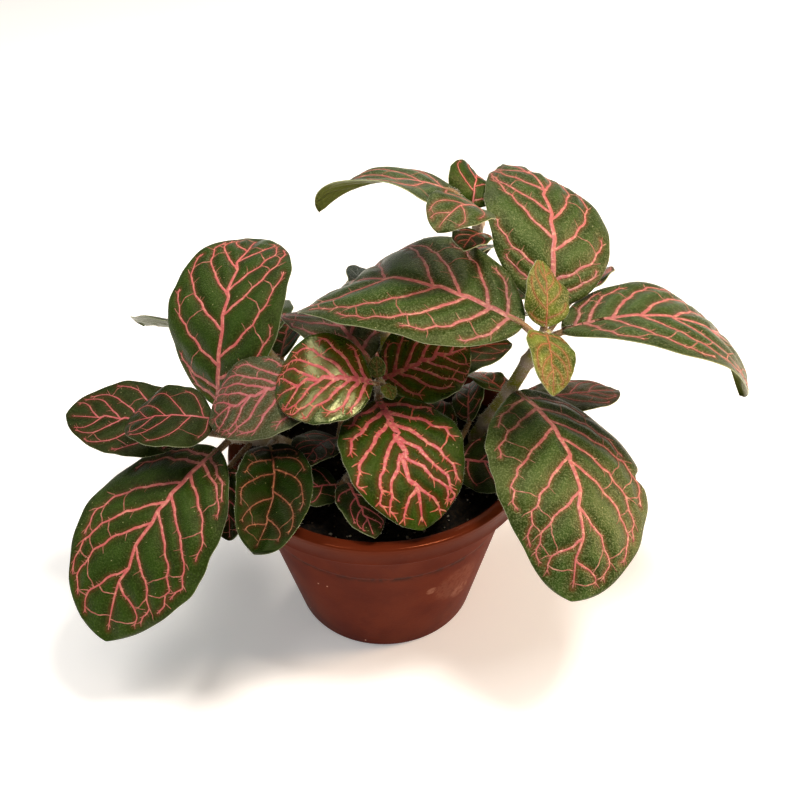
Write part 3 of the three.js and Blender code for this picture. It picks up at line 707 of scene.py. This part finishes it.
def stalk_body(leaf, node):
    """The leaf stalk: a tube along its path, thinner where it turns into the midrib, with a shallow
    groove along its upper side."""
    path = stalk_path(leaf, node)
    share = np.linspace(0, 1, len(path))
    taper = np.interp(share, [0, 0.25, 0.5, 0.75, 1], [1.08, 1, 0.88, 0.6, 0.35])
    radii = by_size(leaf, *STALK_RADII) * taper
    groove = 1 - 0.16 * np.exp(-((np.abs(turns(STALK_SIDES) - np.pi) - np.pi) / 0.5) ** 2)
    up = midrib(leaf, np.array([0.0]))[2][0]
    places, faces = closed_rings(tube_rings(path, radii[:, None] * groove, up))
    marks = {name: np.zeros(len(places)) for name in ("edge", "below", "halo", "swell")}
    marks["stalk"] = np.ones(len(places))
    return places, faces, marks


def on_grid(grid, s, t):
    """Points and normals on the blade's upper face at s and t, by linear mixing within the grid."""
    rows, columns = grid.s.shape[0] - 1, grid.s.shape[1] - 1
    x = np.sign(t) * (1 - (1 - np.abs(t)) ** (1 / EDGE_POWER))
    i = np.clip(np.arccos(np.clip(1 - 2 * s, -1, 1)) / np.pi * rows, 0, rows - 1e-6)
    j = np.clip((x + 1) / 2 * columns, 0, columns - 1e-6)
    i0, j0 = i.astype(int), j.astype(int)
    fi, fj = (i - i0)[..., None], (j - j0)[..., None]

    def mix(values):
        low = values[i0, j0] * (1 - fj) + values[i0, j0 + 1] * fj
        high = values[i0 + 1, j0] * (1 - fj) + values[i0 + 1, j0 + 1] * fj
        return low * (1 - fi) + high * fi

    return mix(grid.point), unit(mix(grid.normal))


def vein_body(leaf, grid, vein):
    """A vein as a flat-topped ridge: across it lie four points, at the edges sunk into the blade and
    between them raised above it, with the width tapering along the path."""
    path, widths, rank = vein
    across = left_of(unit(np.gradient(path, axis=0)))
    offset = np.array([1, 0.5, -0.5, -1]) / 2
    flat = path[:, None] + across[:, None] * (widths[:, None] * offset)[..., None]
    s = np.clip(flat[..., 0] / leaf.length, 0.003, 0.99)
    t = np.clip(flat[..., 1] / np.maximum(half_width(leaf, s, np.sign(flat[..., 1])), 0.05), -0.97, 0.97)
    point, normal = on_grid(grid, s, t)
    high = VEIN_RISE * np.interp(rank, [0, 1, 2, 3], [1.25, 1, 0.8, 0.6])
    rise = BLADE / 2 + np.array([-high, high, high, -high])
    rings = point + normal * rise[:, None]
    places, faces = closed_rings(rings[:, ::-1])
    run = path[:, 0] / leaf.length
    marks = dict(
        core=np.append(np.tile([0.0, 1.0, 1.0, 0.0], len(path)), [0.5, 0.5]),
        along=np.append(np.repeat(run, 4), run[[0, -1]]),
        rank=np.full(len(places), rank / 3),
    )
    return places, faces, marks


def leaf_pieces(leaf, node):
    """Makes a leaf's blade with its stalk, and its vein net. Returns the blade's grid."""
    veins = vein_network(leaf, np.random.default_rng(leaf.seed))
    grid = blade_grid(leaf, veins)
    finish, slot = ("young", "young_leaf") if leaf.young else (leaf.finish, "leaf")
    body = join([blade_body(leaf, grid), stalk_body(leaf, node)])
    make_piece("blade_" + leaf.name, body, TISSUES[finish], [leaf.name])
    net = join([vein_body(leaf, grid, vein) for vein in veins])
    make_piece("veins_" + leaf.name, net, VEIN_TISSUES[finish])
    return grid


# Shoots and hairs

def shoot_body(radius, points):
    """A shoot: straight up out of its hole, then along its path, with a ring-shaped swelling of
    exp(-(distance / NODE_LENGTH)^2) at each node and fine ridges lengthwise. It ends in a blunt cone."""
    (x, y), rest = points[0], points[1:]
    curve = smooth_path([[x, y, SOIL_LEVEL + 1], *rest], 12 * len(rest))
    onward = unit(curve[-1] - curve[-2]) * radius
    foot = [x, y, SOIL_LEVEL - ROOT_DEPTH]
    path = np.vstack([foot, curve, curve[-1] + onward * 0.8, curve[-1] + onward * 1.1])
    share = np.linspace(0, 1, len(path))
    near = np.linalg.norm(path[:, None] - np.array(rest, float), axis=-1).min(axis=1)
    radii = radius * (1 - TAPER * share) * (1 + NODE_SWELLING * np.exp(-(near / NODE_LENGTH) ** 2))
    radii[-2:] *= [0.75, 0.3]
    ridges = 1 + 0.025 * np.cos(5 * turns(SHOOT_SIDES))
    places, faces = closed_rings(tube_rings(path, radii[:, None] * ridges))
    joint = np.append(np.repeat(np.exp(-(near / NODE_TINT_LENGTH) ** 2), SHOOT_SIDES), [0, 0])
    return path, radii, (places, faces, dict(joint=joint))


def hair_body(roots, ways, lengths, thick=HAIR_RADIUS):
    """Hairs as three-sided spikes: three points round each root, square to its way, and one at its tip."""
    other = unit(np.cross(ways, np.array([0.31, 0.52, 0.79])))
    base = roots[:, None] + thick * spokes(other, np.cross(ways, other), 3)
    tips = roots + ways * lengths[:, None]
    places = np.concatenate([base, tips[:, None]], axis=1).reshape(-1, 3)
    start = 4 * np.arange(len(roots))[:, None]
    corners = np.array([[0, 1, 3], [1, 2, 3], [2, 0, 3], [2, 1, 0]])
    return places, [(start[:, None] + corners).reshape(-1, 3)], {}


def stem_hairs(path, radii, longest, rng):
    """Hairs all round a stem: each root lies at a random place along it and a random angle round it."""
    steps = lengths_of(path)
    area = (steps * 2 * np.pi * (radii[:-1] + radii[1:]) / 2).sum()
    count = int(area * HAIR_DENSITY)
    run = np.append(0, np.cumsum(steps))
    at = rng.uniform(0, run[-1], count)
    place = mixed_at(at, run, path)
    along = unit(mixed_at(at, run, unit(np.gradient(path, axis=0))))
    spoke = unit(np.cross(along, rng.normal(size=(count, 3))))
    roots = place + spoke * (np.interp(at, run, radii) * 0.96)[:, None]
    ways = unit(spoke + 0.35 * rng.normal(size=(count, 3)) + 0.15 * along)
    return hair_body(roots, ways, rng.uniform(0.5, 1, count) * longest)


def margin_hairs(leaf, grid, rng):
    """Short hairs along the margin: each root lies on the edge and its hair points outwards."""
    count = int(leaf.length * MARGIN_HAIRS)
    halves = rng.choice([-1, 1], count)
    s = rng.uniform(0.02, 0.97, count)
    point, inner = (on_grid(grid, s, halves * out)[0] for out in (0.999, 0.9))
    ways = unit(unit(point - inner) + 0.45 * rng.normal(size=(count, 3)))
    return hair_body(point, ways, rng.uniform(0.25, 0.6, count), MARGIN_HAIR_RADIUS)


def shoot_pieces(shoot, first_seed):
    """Makes a shoot, its leaves, and the hairs on all of them."""
    name, radius, points, leaves = shoot
    path, radii, body = shoot_body(radius, points)
    make_piece("stem_" + name, body, STEM, [name])
    rng = np.random.default_rng(first_seed)
    hairs = [stem_hairs(path[1:], radii[1:], STEM_HAIR, rng)]
    for k, choice in enumerate(leaves):
        leaf = SimpleNamespace(**choice, seed=first_seed + k)
        node = np.array(points[leaf.node], float)
        hairs.append(margin_hairs(leaf, leaf_pieces(leaf, node), rng))
        stalk = stalk_path(leaf, node)[:HAIRY_STALK_STEPS]
        thick = np.full(len(stalk), by_size(leaf, *HAIR_ROOT_RADII))
        hairs.append(stem_hairs(stalk, thick, STALK_HAIR, rng))
    make_piece("hairs_" + name, join(hairs), HAIR)


# Pot and soil

def inner_radius(z):
    """The wall's inner face at a height: straight from the foot to the mouth."""
    return FOOT_RADIUS - WALL + (MOUTH_RADIUS - FOOT_RADIUS + WALL) * z / POT_HEIGHT


def wall_radius(z):
    """The wall's outer face at a height."""
    return inner_radius(z) + WALL


def rounded(profile, sharpness):
    """A closed outline with each corner cut twice: every side gives points near both of its ends."""
    points = np.array(profile, float)
    for _ in range(2):
        onward = np.roll(points, -1, axis=0)
        way = onward - points
        cut = np.minimum(sharpness / np.maximum(np.linalg.norm(way, axis=1, keepdims=True), 1e-9), 0.3)
        points = np.stack([points + way * cut, onward - way * cut], axis=1).reshape(-1, 2)
        sharpness = sharpness / 3
    return points


def drained_floor(outer):
    """The pot's floor out to a radius, with a round hole in each sixth. A sixth is a ring of quads from
    the hole's edge out to the sixth's outline: the nearer of the outer circle and the two straight
    sides, seen along each spoke from the hole's centre."""
    half_turn = np.pi / DRAINS
    corner = np.arctan2(outer * np.sin(half_turn), outer * np.cos(half_turn) - DRAIN_CIRCLE)
    angle = np.sort(np.append(turns(DRAIN_SIDES) - np.pi, [corner, -corner]))
    forward = DRAIN_CIRCLE * np.cos(angle)
    to_circle = -forward + np.sqrt(forward ** 2 - DRAIN_CIRCLE ** 2 + outer ** 2)
    away = np.sin(half_turn) * -np.cos(angle) + np.cos(half_turn) * np.abs(np.sin(angle))
    to_side = DRAIN_CIRCLE * np.sin(half_turn) / np.maximum(away, 1e-6)
    reach = np.minimum(to_circle, to_side)
    section = [(reach, 0), (DRAIN_RADIUS, 0), (DRAIN_RADIUS, FLOOR), (reach, FLOOR)]
    rows = np.stack([round_axis(radius, angle, height) for radius, height in section])
    rows[..., 0] += DRAIN_CIRCLE
    index = np.arange(rows[..., 0].size).reshape(rows.shape[:2])
    unmarked = dict(lip=np.zeros(index.size), step_shade=np.zeros(index.size))
    bodies = []
    for turn in turns(DRAINS):
        across = np.array([[np.cos(turn), np.sin(turn), 0], [-np.sin(turn), np.cos(turn), 0], [0, 0, 1]])
        bodies.append(((rows @ across).reshape(-1, 3), [ring_quads(index)], unmarked))
    return join(bodies)


def pot_piece():
    """The pot: its section with rounded corners, turned about the axis, round a floor with six holes. It
    is marked where it is the lip and, as exp(-(distance / 1.3 mm)^2), along the step, where painted
    shade darkens it."""
    top, skirt, step = POT_HEIGHT, POT_HEIGHT - SKIRT_HEIGHT, STEP_HEIGHT
    floor_edge = DRAIN_CIRCLE + DRAIN_RADIUS + 1
    recessed = [(wall_radius(z) - STEP_DEPTH, z) for z in (1.2, step - 3, step)]
    plain = [(wall_radius(z), z) for z in (step + 0.8, step + 3, top - WALL)]
    section = rounded([
        (floor_edge, 0), (FOOT_RADIUS - 1.2, 0), *recessed, *plain,
        (RIM_RADIUS - WALL, top - WALL), (RIM_RADIUS - WALL, skirt), (RIM_RADIUS, skirt), (RIM_RADIUS, top),
        (MOUTH_RADIUS, top), (inner_radius(FLOOR + FLOOR_CORNER), FLOOR + FLOOR_CORNER),
        (inner_radius(FLOOR) - FLOOR_CORNER, FLOOR), (floor_edge, FLOOR),
    ], CORNER)
    rings = round_axis(section[:, :1], turns(POT_SIDES), section[:, 1:])
    index = np.arange(rings[..., 0].size).reshape(-1, POT_SIDES)
    height = np.repeat(section[:, 1], POT_SIDES)
    marks = dict(lip=ease((height - top + 1.2) / 0.8), step_shade=np.exp(-((height - step) / 1.3) ** 2))
    wall = rings.reshape(-1, 3), [ring_quads(np.vstack([index, index[:1]]))], marks
    make_piece("nursery_pot", join([wall, drained_floor(floor_edge)]), PLASTIC, ["pot"])


def soil_height(x, y):
    """The soil's top as in the solids, with finer crumbs: sums of sine products that shrink as they get
    finer."""
    lumps = np.sin(0.55 * x + 0.3 * y) * np.cos(0.47 * y - 0.2 * x) + 0.5 * np.sin(1.3 * x - 0.9 * y)
    fine = np.sin(2.9 * x + 1.7 * y) * np.cos(2.3 * y - 1.1 * x)
    finest = 0.6 * np.sin(5.3 * x - 3.1 * y + np.sin(2.1 * y))
    return SOIL_LEVEL + 0.7 * lumps + 0.35 * (fine + finest) - SOIL_CROWN * (x * x + y * y)


def crumbs(count, rng):
    """Pale crumbs and grit on the soil: each is a small lump of two triangle fans about a bent ring of six
    points, at a random place and of a random size."""
    reach = np.sqrt(rng.uniform(0, 1, count)) * (inner_radius(SOIL_LEVEL) - 2)
    turn = rng.uniform(0, 2 * np.pi, count)
    x, y = reach * np.cos(turn), reach * np.sin(turn)
    size = rng.uniform(0.2, 0.75, count)[:, None]
    radius = size * rng.uniform(0.6, 1.3, (count, 6))
    rise = size * rng.uniform(-0.3, 0.3, (count, 6))
    centre = np.stack([x, y, soil_height(x, y) + 0.25], axis=-1)
    poles = size[..., None] * np.array([[0, 0, 0.7], [0, 0, -0.7]])
    lumps = np.concatenate([round_axis(radius, turns(6), rise), poles], axis=1)
    places = (centre[:, None] + lumps).reshape(-1, 3)
    corner, onward = np.arange(6), np.roll(np.arange(6), -1)
    top = np.stack([corner, onward, np.full(6, 6)], axis=-1)
    low = np.stack([onward, corner, np.full(6, 7)], axis=-1)
    start = 8 * np.arange(count)[:, None, None]
    return places, [(start + np.concatenate([top, low])).reshape(-1, 3)], dict(crumb=np.ones(len(places)))


def soil_piece(rng):
    """The soil: a crumbly disc of rings out to the pot's wall, down along it and in just above the floor."""
    top_radius = inner_radius(SOIL_LEVEL - 2.5) - SOIL_GAP
    low_radius = inner_radius(FLOOR) - FLOOR_CORNER - 2 * SOIL_GAP
    radius = np.append(low_radius, top_radius * np.linspace(1, 0.01, SOIL_RINGS))
    rings = round_axis(radius[:, None], turns(SOIL_SIDES), 0)
    height = soil_height(rings[..., 0], rings[..., 1])
    height[0] = FLOOR + SOIL_GAP
    grain = rng.normal(size=height.shape) * SOIL_GRAIN
    grain[0] = 0
    rings[..., 2] = height + grain
    places, faces = closed_rings(rings)
    disc = places, faces, dict(crumb=np.zeros(len(places)))
    make_piece("soil_top", join([disc, crumbs(CRUMBS, rng)]), PEAT, ["soil"])


# Materials

class Look:
    """A material in the making: one Principled shader and the colour painted on so far."""

    def __init__(self, name, surface):
        self.made = bpy.data.materials.new(name)
        self.made.use_nodes = True
        self.tree = self.made.node_tree
        self.tree.nodes.clear()
        self.shader = self.add("BsdfPrincipled", surface)
        self.add("OutputMaterial", {"Surface": self.shader.outputs[0]})

    def add(self, kind, inputs, **settings):
        """Adds a node, sets its properties, and fills its inputs."""
        node = self.tree.nodes.new("ShaderNode" + kind)
        for name, value in settings.items():
            setattr(node, name, value)
        for socket, value in inputs.items():
            self.fill(node.inputs[socket], value)
        return node

    def fill(self, socket, value):
        """Links another node's output to the socket, or sets it to a value or a hex colour."""
        if isinstance(value, bpy.types.NodeSocket):
            self.tree.links.new(value, socket)
        else:
            socket.default_value = linear(value) if isinstance(value, str) else value

    def place(self):
        """The Object coordinates, in metres."""
        return self.add("TexCoord", {}).outputs["Object"]

    def mark(self, name):
        """A mark of the mesh, such as how near a vein is."""
        return self.add("Attribute", {}, attribute_name=name).outputs["Fac"]

    def noise(self, size, detail=2.0, rough=0.5):
        """Noise whose features are about size millimetres wide."""
        settings = {"Vector": self.place(), "Scale": 1 / (size * MM), "Detail": detail, "Roughness": rough}
        return self.add("TexNoise", settings).outputs["Fac"]

    def specks(self, size):
        """Distance, in cells, to the nearest of scattered points, one in each cell of size millimetres."""
        return self.add("TexVoronoi", {"Vector": self.place(), "Scale": 1 / (size * MM)}).outputs["Distance"]

    def spread(self, value, low, high, start=0.0, end=1.0):
        """The value stretched smoothly, so that low becomes start and high becomes end."""
        settings = {"Value": value, "From Min": low, "From Max": high, "To Min": start, "To Max": end}
        return self.add("MapRange", settings, interpolation_type="SMOOTHSTEP").outputs[0]

    def mixed(self, share, first, second):
        """The colour that lies between two others by the share."""
        return self.add("Mix", {0: share, 6: first, 7: second}, data_type="RGBA").outputs[2]

    def paint(self, colour, share, *limits):
        """Lays a colour over those so far, by a share that the limits, if there are any, stretch."""
        self.colour = self.mixed(self.spread(share, *limits) if limits else share, self.colour, colour)

    def finish(self, height, depth):
        """The material with its painted colour and with bumps of the given depth in millimetres."""
        bump = self.add("Bump", {"Height": height, "Distance": depth * MM, "Strength": 1.0})
        self.fill(self.shader.inputs["Normal"], bump.outputs[0])
        self.fill(self.shader.inputs["Base Color"], self.colour)
        return self.made


def leaf_tissue(kind, colours, gloss=0.26, roughness=0.29, margin="#a8ae84", relief=0.26):
    """Living leaf: a thick, finely hairy skin, so a broad soft gloss and a grain of half a
    millimetre. It is brown along the veins, deep green next to that and freshest on the humps. Its
    margin is pale, its underside olive and its stalk brownish, and a few pale specks lie on it."""
    deep, fresh, hump, under, pale, border = colours.split()
    look = Look(kind + "_leaf_tissue", {
        "Roughness": roughness, "Specular IOR Level": gloss, "Specular Tint": "#dcdfa4",
    })
    grain = look.noise(0.55, 2.0, 0.6)
    look.colour = look.mixed(look.spread(look.noise(8), 0.36, 0.66), deep, fresh)
    look.paint(hump, look.mark("swell"), 0.6, 1.0, 0, 0.5)
    look.paint(border, look.mark("halo"), 0.2, 1.0, 0, 0.85)
    look.paint(pale, grain, 0.47, 0.68, 0, 0.45)
    look.paint("#141f04", grain, 0.46, 0.3, 0, 0.35)
    look.paint("#c8c48e", look.specks(2.8), 0.065, 0.04, 0, 0.65)
    look.paint(under, look.mark("below"))
    look.paint("#84684c", look.mark("stalk"))
    look.paint(margin, look.mark("edge"), 0.3, 0.9)
    return look.finish(grain, relief)


def vein_tissue(name, colours):
    """Leaf veins: soft raised cords without green, so their colour is clear on top and dims into the
    leaf at both sides. They darken towards the leaf stalk, and their finest ends are brownish."""
    base, core, fine, side, light = colours.split()
    look = Look(name, {"Roughness": 0.36, "Specular IOR Level": 0.4})
    look.colour = look.mixed(look.spread(look.mark("along"), 0.0, 0.3), base, core)
    look.paint(fine, look.mark("rank"), 0.4, 0.8)
    # Painted highlight: salmon patches laid on the veins by noise.
    look.paint(light, look.noise(1.3, 3.0), 0.45, 0.7, 0, 0.5)
    look.colour = look.mixed(look.spread(look.mark("core"), 0.1, 0.95), side, look.colour)
    return look.finish(look.noise(0.6, 1.0), 0.22)


def stem_tissue():
    """Soft green stem under short pale hairs: matt, olive in the stretches and grey-brown at the nodes."""
    look = Look("hairy_stem", {"Roughness": 0.6, "Specular IOR Level": 0.2})
    look.colour = look.mixed(look.spread(look.noise(6), 0.35, 0.65), "#8a8a26", "#a8947a")
    look.paint("#b0a08e", look.mark("joint"))
    return look.finish(look.noise(0.5, 2.0), 0.1)


def hair_fibre():
    """Dry plant hair: colourless cell walls full of air, so whitish and matt."""
    return Look("plant_hair", {"Base Color": "#ece8da", "Roughness": 0.6, "Specular IOR Level": 0.3}).made


def moulded_plastic():
    """Injection-moulded polypropylene with much pigment: an even colour with a satin gloss, cloudy
    from handling, with pale scuffs, painted shade in the step and a few dust specks. The lip is polished."""
    look = Look("moulded_polypropylene", {"Specular Tint": "#e07a50"})
    lip = look.mark("lip")
    look.colour = look.mixed(look.spread(look.noise(16, 4.0, 0.6), 0.3, 0.7), "#501a0a", "#5e2410")
    look.paint("#8a4c34", look.noise(2.4, 6.0, 0.8), 0.58, 0.8, 0, 0.25)
    # Painted shade: darker patches in a band along the step.
    look.paint("#34140a", look.noise(5, 4.0, 0.7), 0.4, 0.56, 0, look.mark("step_shade"))
    look.paint("#d8a48a", look.specks(9), 0.042, 0.028)
    for place, width, strength in SCUFFS:
        centre = tuple(value * MM for value in place)
        away = look.add("VectorMath", {0: look.place(), 1: centre}, operation="DISTANCE").outputs["Value"]
        spot = look.spread(away, width * MM * 0.6, width * MM * 0.4)
        patch = look.spread(look.noise(1.5, 4.0, 0.7), 0.3, 0.6, 0, spot)
        look.paint("#c08a70", patch, 0, 1, 0, strength)
    look.paint("#54200f", lip)
    look.fill(look.shader.inputs["Roughness"], look.spread(lip, 0, 1, 0.5, 0.16))
    look.fill(look.shader.inputs["Specular IOR Level"], look.spread(lip, 0, 1, 0.04, 0.5))
    return look.finish(look.noise(0.8, 3.0), 0.04)


def peat():
    """Peat with a little sand: almost black and matt, broken into crumbs, with paler grit on top."""
    look = Look("peat_soil", {"Roughness": 0.92, "Specular IOR Level": 0.15})
    look.colour = look.mixed(look.spread(look.noise(1.2, 4.0), 0.4, 0.7), "#080604", "#20170e")
    grit = look.mixed(look.spread(look.noise(3), 0.4, 0.6), "#3a2c1e", "#a8a090")
    look.paint(grit, look.mark("crumb"))
    return look.finish(look.noise(1.0, 5.0, 0.7), 0.5)


# Colours of a leaf: deep and fresh green, hump, underside, pale grain, and the border of its veins
TISSUES = dict(
    # shaded and deep: darker copies of the dark finish, painted shade for the hanging, inner and low leaves
    shaded=leaf_tissue("shaded", "#0b1601 #122202 #162a04 #3a4420 #20320a #2a1808", 0.15, margin="#566238"),
    deep=leaf_tissue("deep", "#121a02 #1a2606 #1e300a #4a5428 #36441e #3c2412", 0.18, margin="#828a64"),
    dark=leaf_tissue("dark", "#1f2c04 #293c08 #2a4412 #4f5c2c #4a5e2a #54301a"),
    # A lighter, greyer copy with paler grain: painted sheen for the top leaves in the light.
    painted_sheen=leaf_tissue("painted_sheen", "#24320a #324214 #3e5826 #686f34 #7a8458 #5e3a22", 0.3),
    bright=leaf_tissue("bright", "#1e2e02 #2c4204 #324c08 #4f5c2c #4a601c #5c2c10", 0.9, 0.2, relief=0.1),
    fresh=leaf_tissue("fresh", "#1b2901 #283b03 #2c4206 #4f5c2c #40541a #54260e", 0.18),
    # Greyer colours: painted grey-pink sheen for the leaves that show it.
    grey=leaf_tissue("grey", "#2c3118 #3a4028 #424c32 #5a6038 #74765e #5c3c2a"),
    # Grey colours: painted grey sheen on the small cupped leaf at the back.
    slate=leaf_tissue("slate", "#242c28 #38423e #424c48 #4a5248 #6c746c #38403c"),
    young=leaf_tissue("young", "#304208 #626f26 #7e8838 #7c8644 #aca86c #6e5222"),
)

# Colours of its veins: near the stalk, on the crest, on the finest ones, at their sides, and a painted
# salmon highlight
VEIN_TISSUES = dict(
    # shaded and deep: darker vein copies, painted shade
    shaded=vein_tissue("shaded_coral_vein", "#643426 #74402c #5e3822 #342610 #c07c50"),
    deep=vein_tissue("shade_darkened_coral_vein", "#8e4846 #b04c50 #864636 #4a2c16 #d08878"),
    dark=vein_tissue("coral_vein", "#a05e58 #c25e5a #8e563e #5a341a #e8a088"),
    # Paler veins: painted sheen, for the top leaves.
    painted_sheen=vein_tissue("pale_coral_vein", "#985c58 #b05e5a #885a40 #5e3e22 #e0aa90"),
    bright=vein_tissue("orange_coral_vein", "#b44e56 #b84c50 #b04e30 #783a18 #e0a27e"),
    # Duller veins under the same painted sheen.
    grey=vein_tissue("dull_pink_vein", "#9c5658 #a05052 #905048 #6a4236 #bc827c"),
    # Grey veins under the same painted sheen.
    slate=vein_tissue("slate_vein", "#5c625c #6c726c #626862 #3c443e #8a908a"),
    young=vein_tissue("young_orange_vein", "#8a5030 #985838 #86562c #6a5a24 #c89058"),
)
VEIN_TISSUES["fresh"] = VEIN_TISSUES["bright"]
STEM = stem_tissue()
HAIR = hair_fibre()
PLASTIC = moulded_plastic()
PEAT = peat()


# The plant in its pot

pot_piece()
soil_piece(np.random.default_rng(7))
for number, shoot in enumerate(SHOOTS):
    shoot_pieces(shoot, 100 * (number + 1))


# Camera, floor and light

CAMERA_PLACE = (6.65, -295.0, 315.8)
CAMERA_ELEVATION = 37.8
CAMERA_ROLL = -1.02
FRAME_PIXELS = 800
FOCAL_PIXELS = 1120
SENSOR = 36
FLOOR_HALF = 3000

# Each light: its name, its place, the point that it faces, its size, its power in watts, its colour
LIGHTS = [
    ("key", (235, -95, 880), (0, 0, 90), 190, 6.0, "#fff6ea"),
    ("rear", (12, 600, 720), (0, 0, 70), 110, 1.4, "#fff4e6"),
    ("fill", (-320, -60, 760), (0, 0, 90), 300, 2.4, "#fff8f0"),
    ("side", (850, 60, 380), (0, 0, 60), 300, 8, "#ffd9b4"),
]


def set_up(thing, right, up, back, place):
    """Puts a thing at its place, with its x, y and z axes along right, up and back."""
    matrix = np.eye(4)
    matrix[:3] = np.column_stack([right, up, back, np.array(place) * MM])
    thing.matrix_world = Matrix(matrix.tolist())


def make_camera():
    """The camera looks down by its elevation, and is then rolled about its own axis."""
    tilt, roll = rad(CAMERA_ELEVATION), rad(CAMERA_ROLL)
    forward = np.array([0, np.cos(tilt), -np.sin(tilt)])
    level = np.array([1.0, 0, 0])
    upward = np.cross(level, forward)
    right = level * np.cos(roll) + upward * np.sin(roll)
    up = upward * np.cos(roll) - level * np.sin(roll)
    lens = bpy.data.cameras.new("camera")
    lens.sensor_width = SENSOR
    lens.lens = FOCAL_PIXELS / FRAME_PIXELS * SENSOR
    lens.clip_start = 0.01
    camera = in_scene("camera", lens)
    set_up(camera, right, up, -forward, CAMERA_PLACE)
    bpy.context.scene.camera = camera


def make_floor():
    """A large plain floor that glows a little, so that it stays pale where the light is weak."""
    half = FLOOR_HALF * MM
    mesh = bpy.data.meshes.new("floor")
    corners = [(-half, -half, 0), (half, -half, 0), (half, half, 0), (-half, half, 0)]
    mesh.from_pydata(corners, [], [(0, 1, 2, 3)])
    mesh.materials.append(Look("pale_floor", {
        "Base Color": "#ffffff", "Roughness": 0.95, "Specular IOR Level": 0.1,
        "Emission Color": "#ffffff", "Emission Strength": 0.25,
    }).made)
    floor = in_scene("floor", mesh)


def make_light():
    """Square lights that each face a point, and a weak white light from all round."""
    for name, place, aim, size, power, colour in LIGHTS:
        data = bpy.data.lights.new(name, "AREA")
        data.size, data.energy = size * MM, power
        data.color = linear(colour)[:3]
        back = unit(np.array(place, float) - aim)
        right = unit(np.cross([0, 0, 1], back))
        set_up(in_scene(name, data), right, np.cross(back, right), back, place)
    world = bpy.data.worlds.new("studio")
    world.use_nodes = True
    background = world.node_tree.nodes["Background"].inputs
    background["Color"].default_value = (1, 1, 1, 1)
    background["Strength"].default_value = 0.25
    bpy.context.scene.world = world
    bpy.context.scene.view_settings.view_transform = "Standard"


make_camera()
make_floor()
make_light()

bpy.context.view_layer.update()
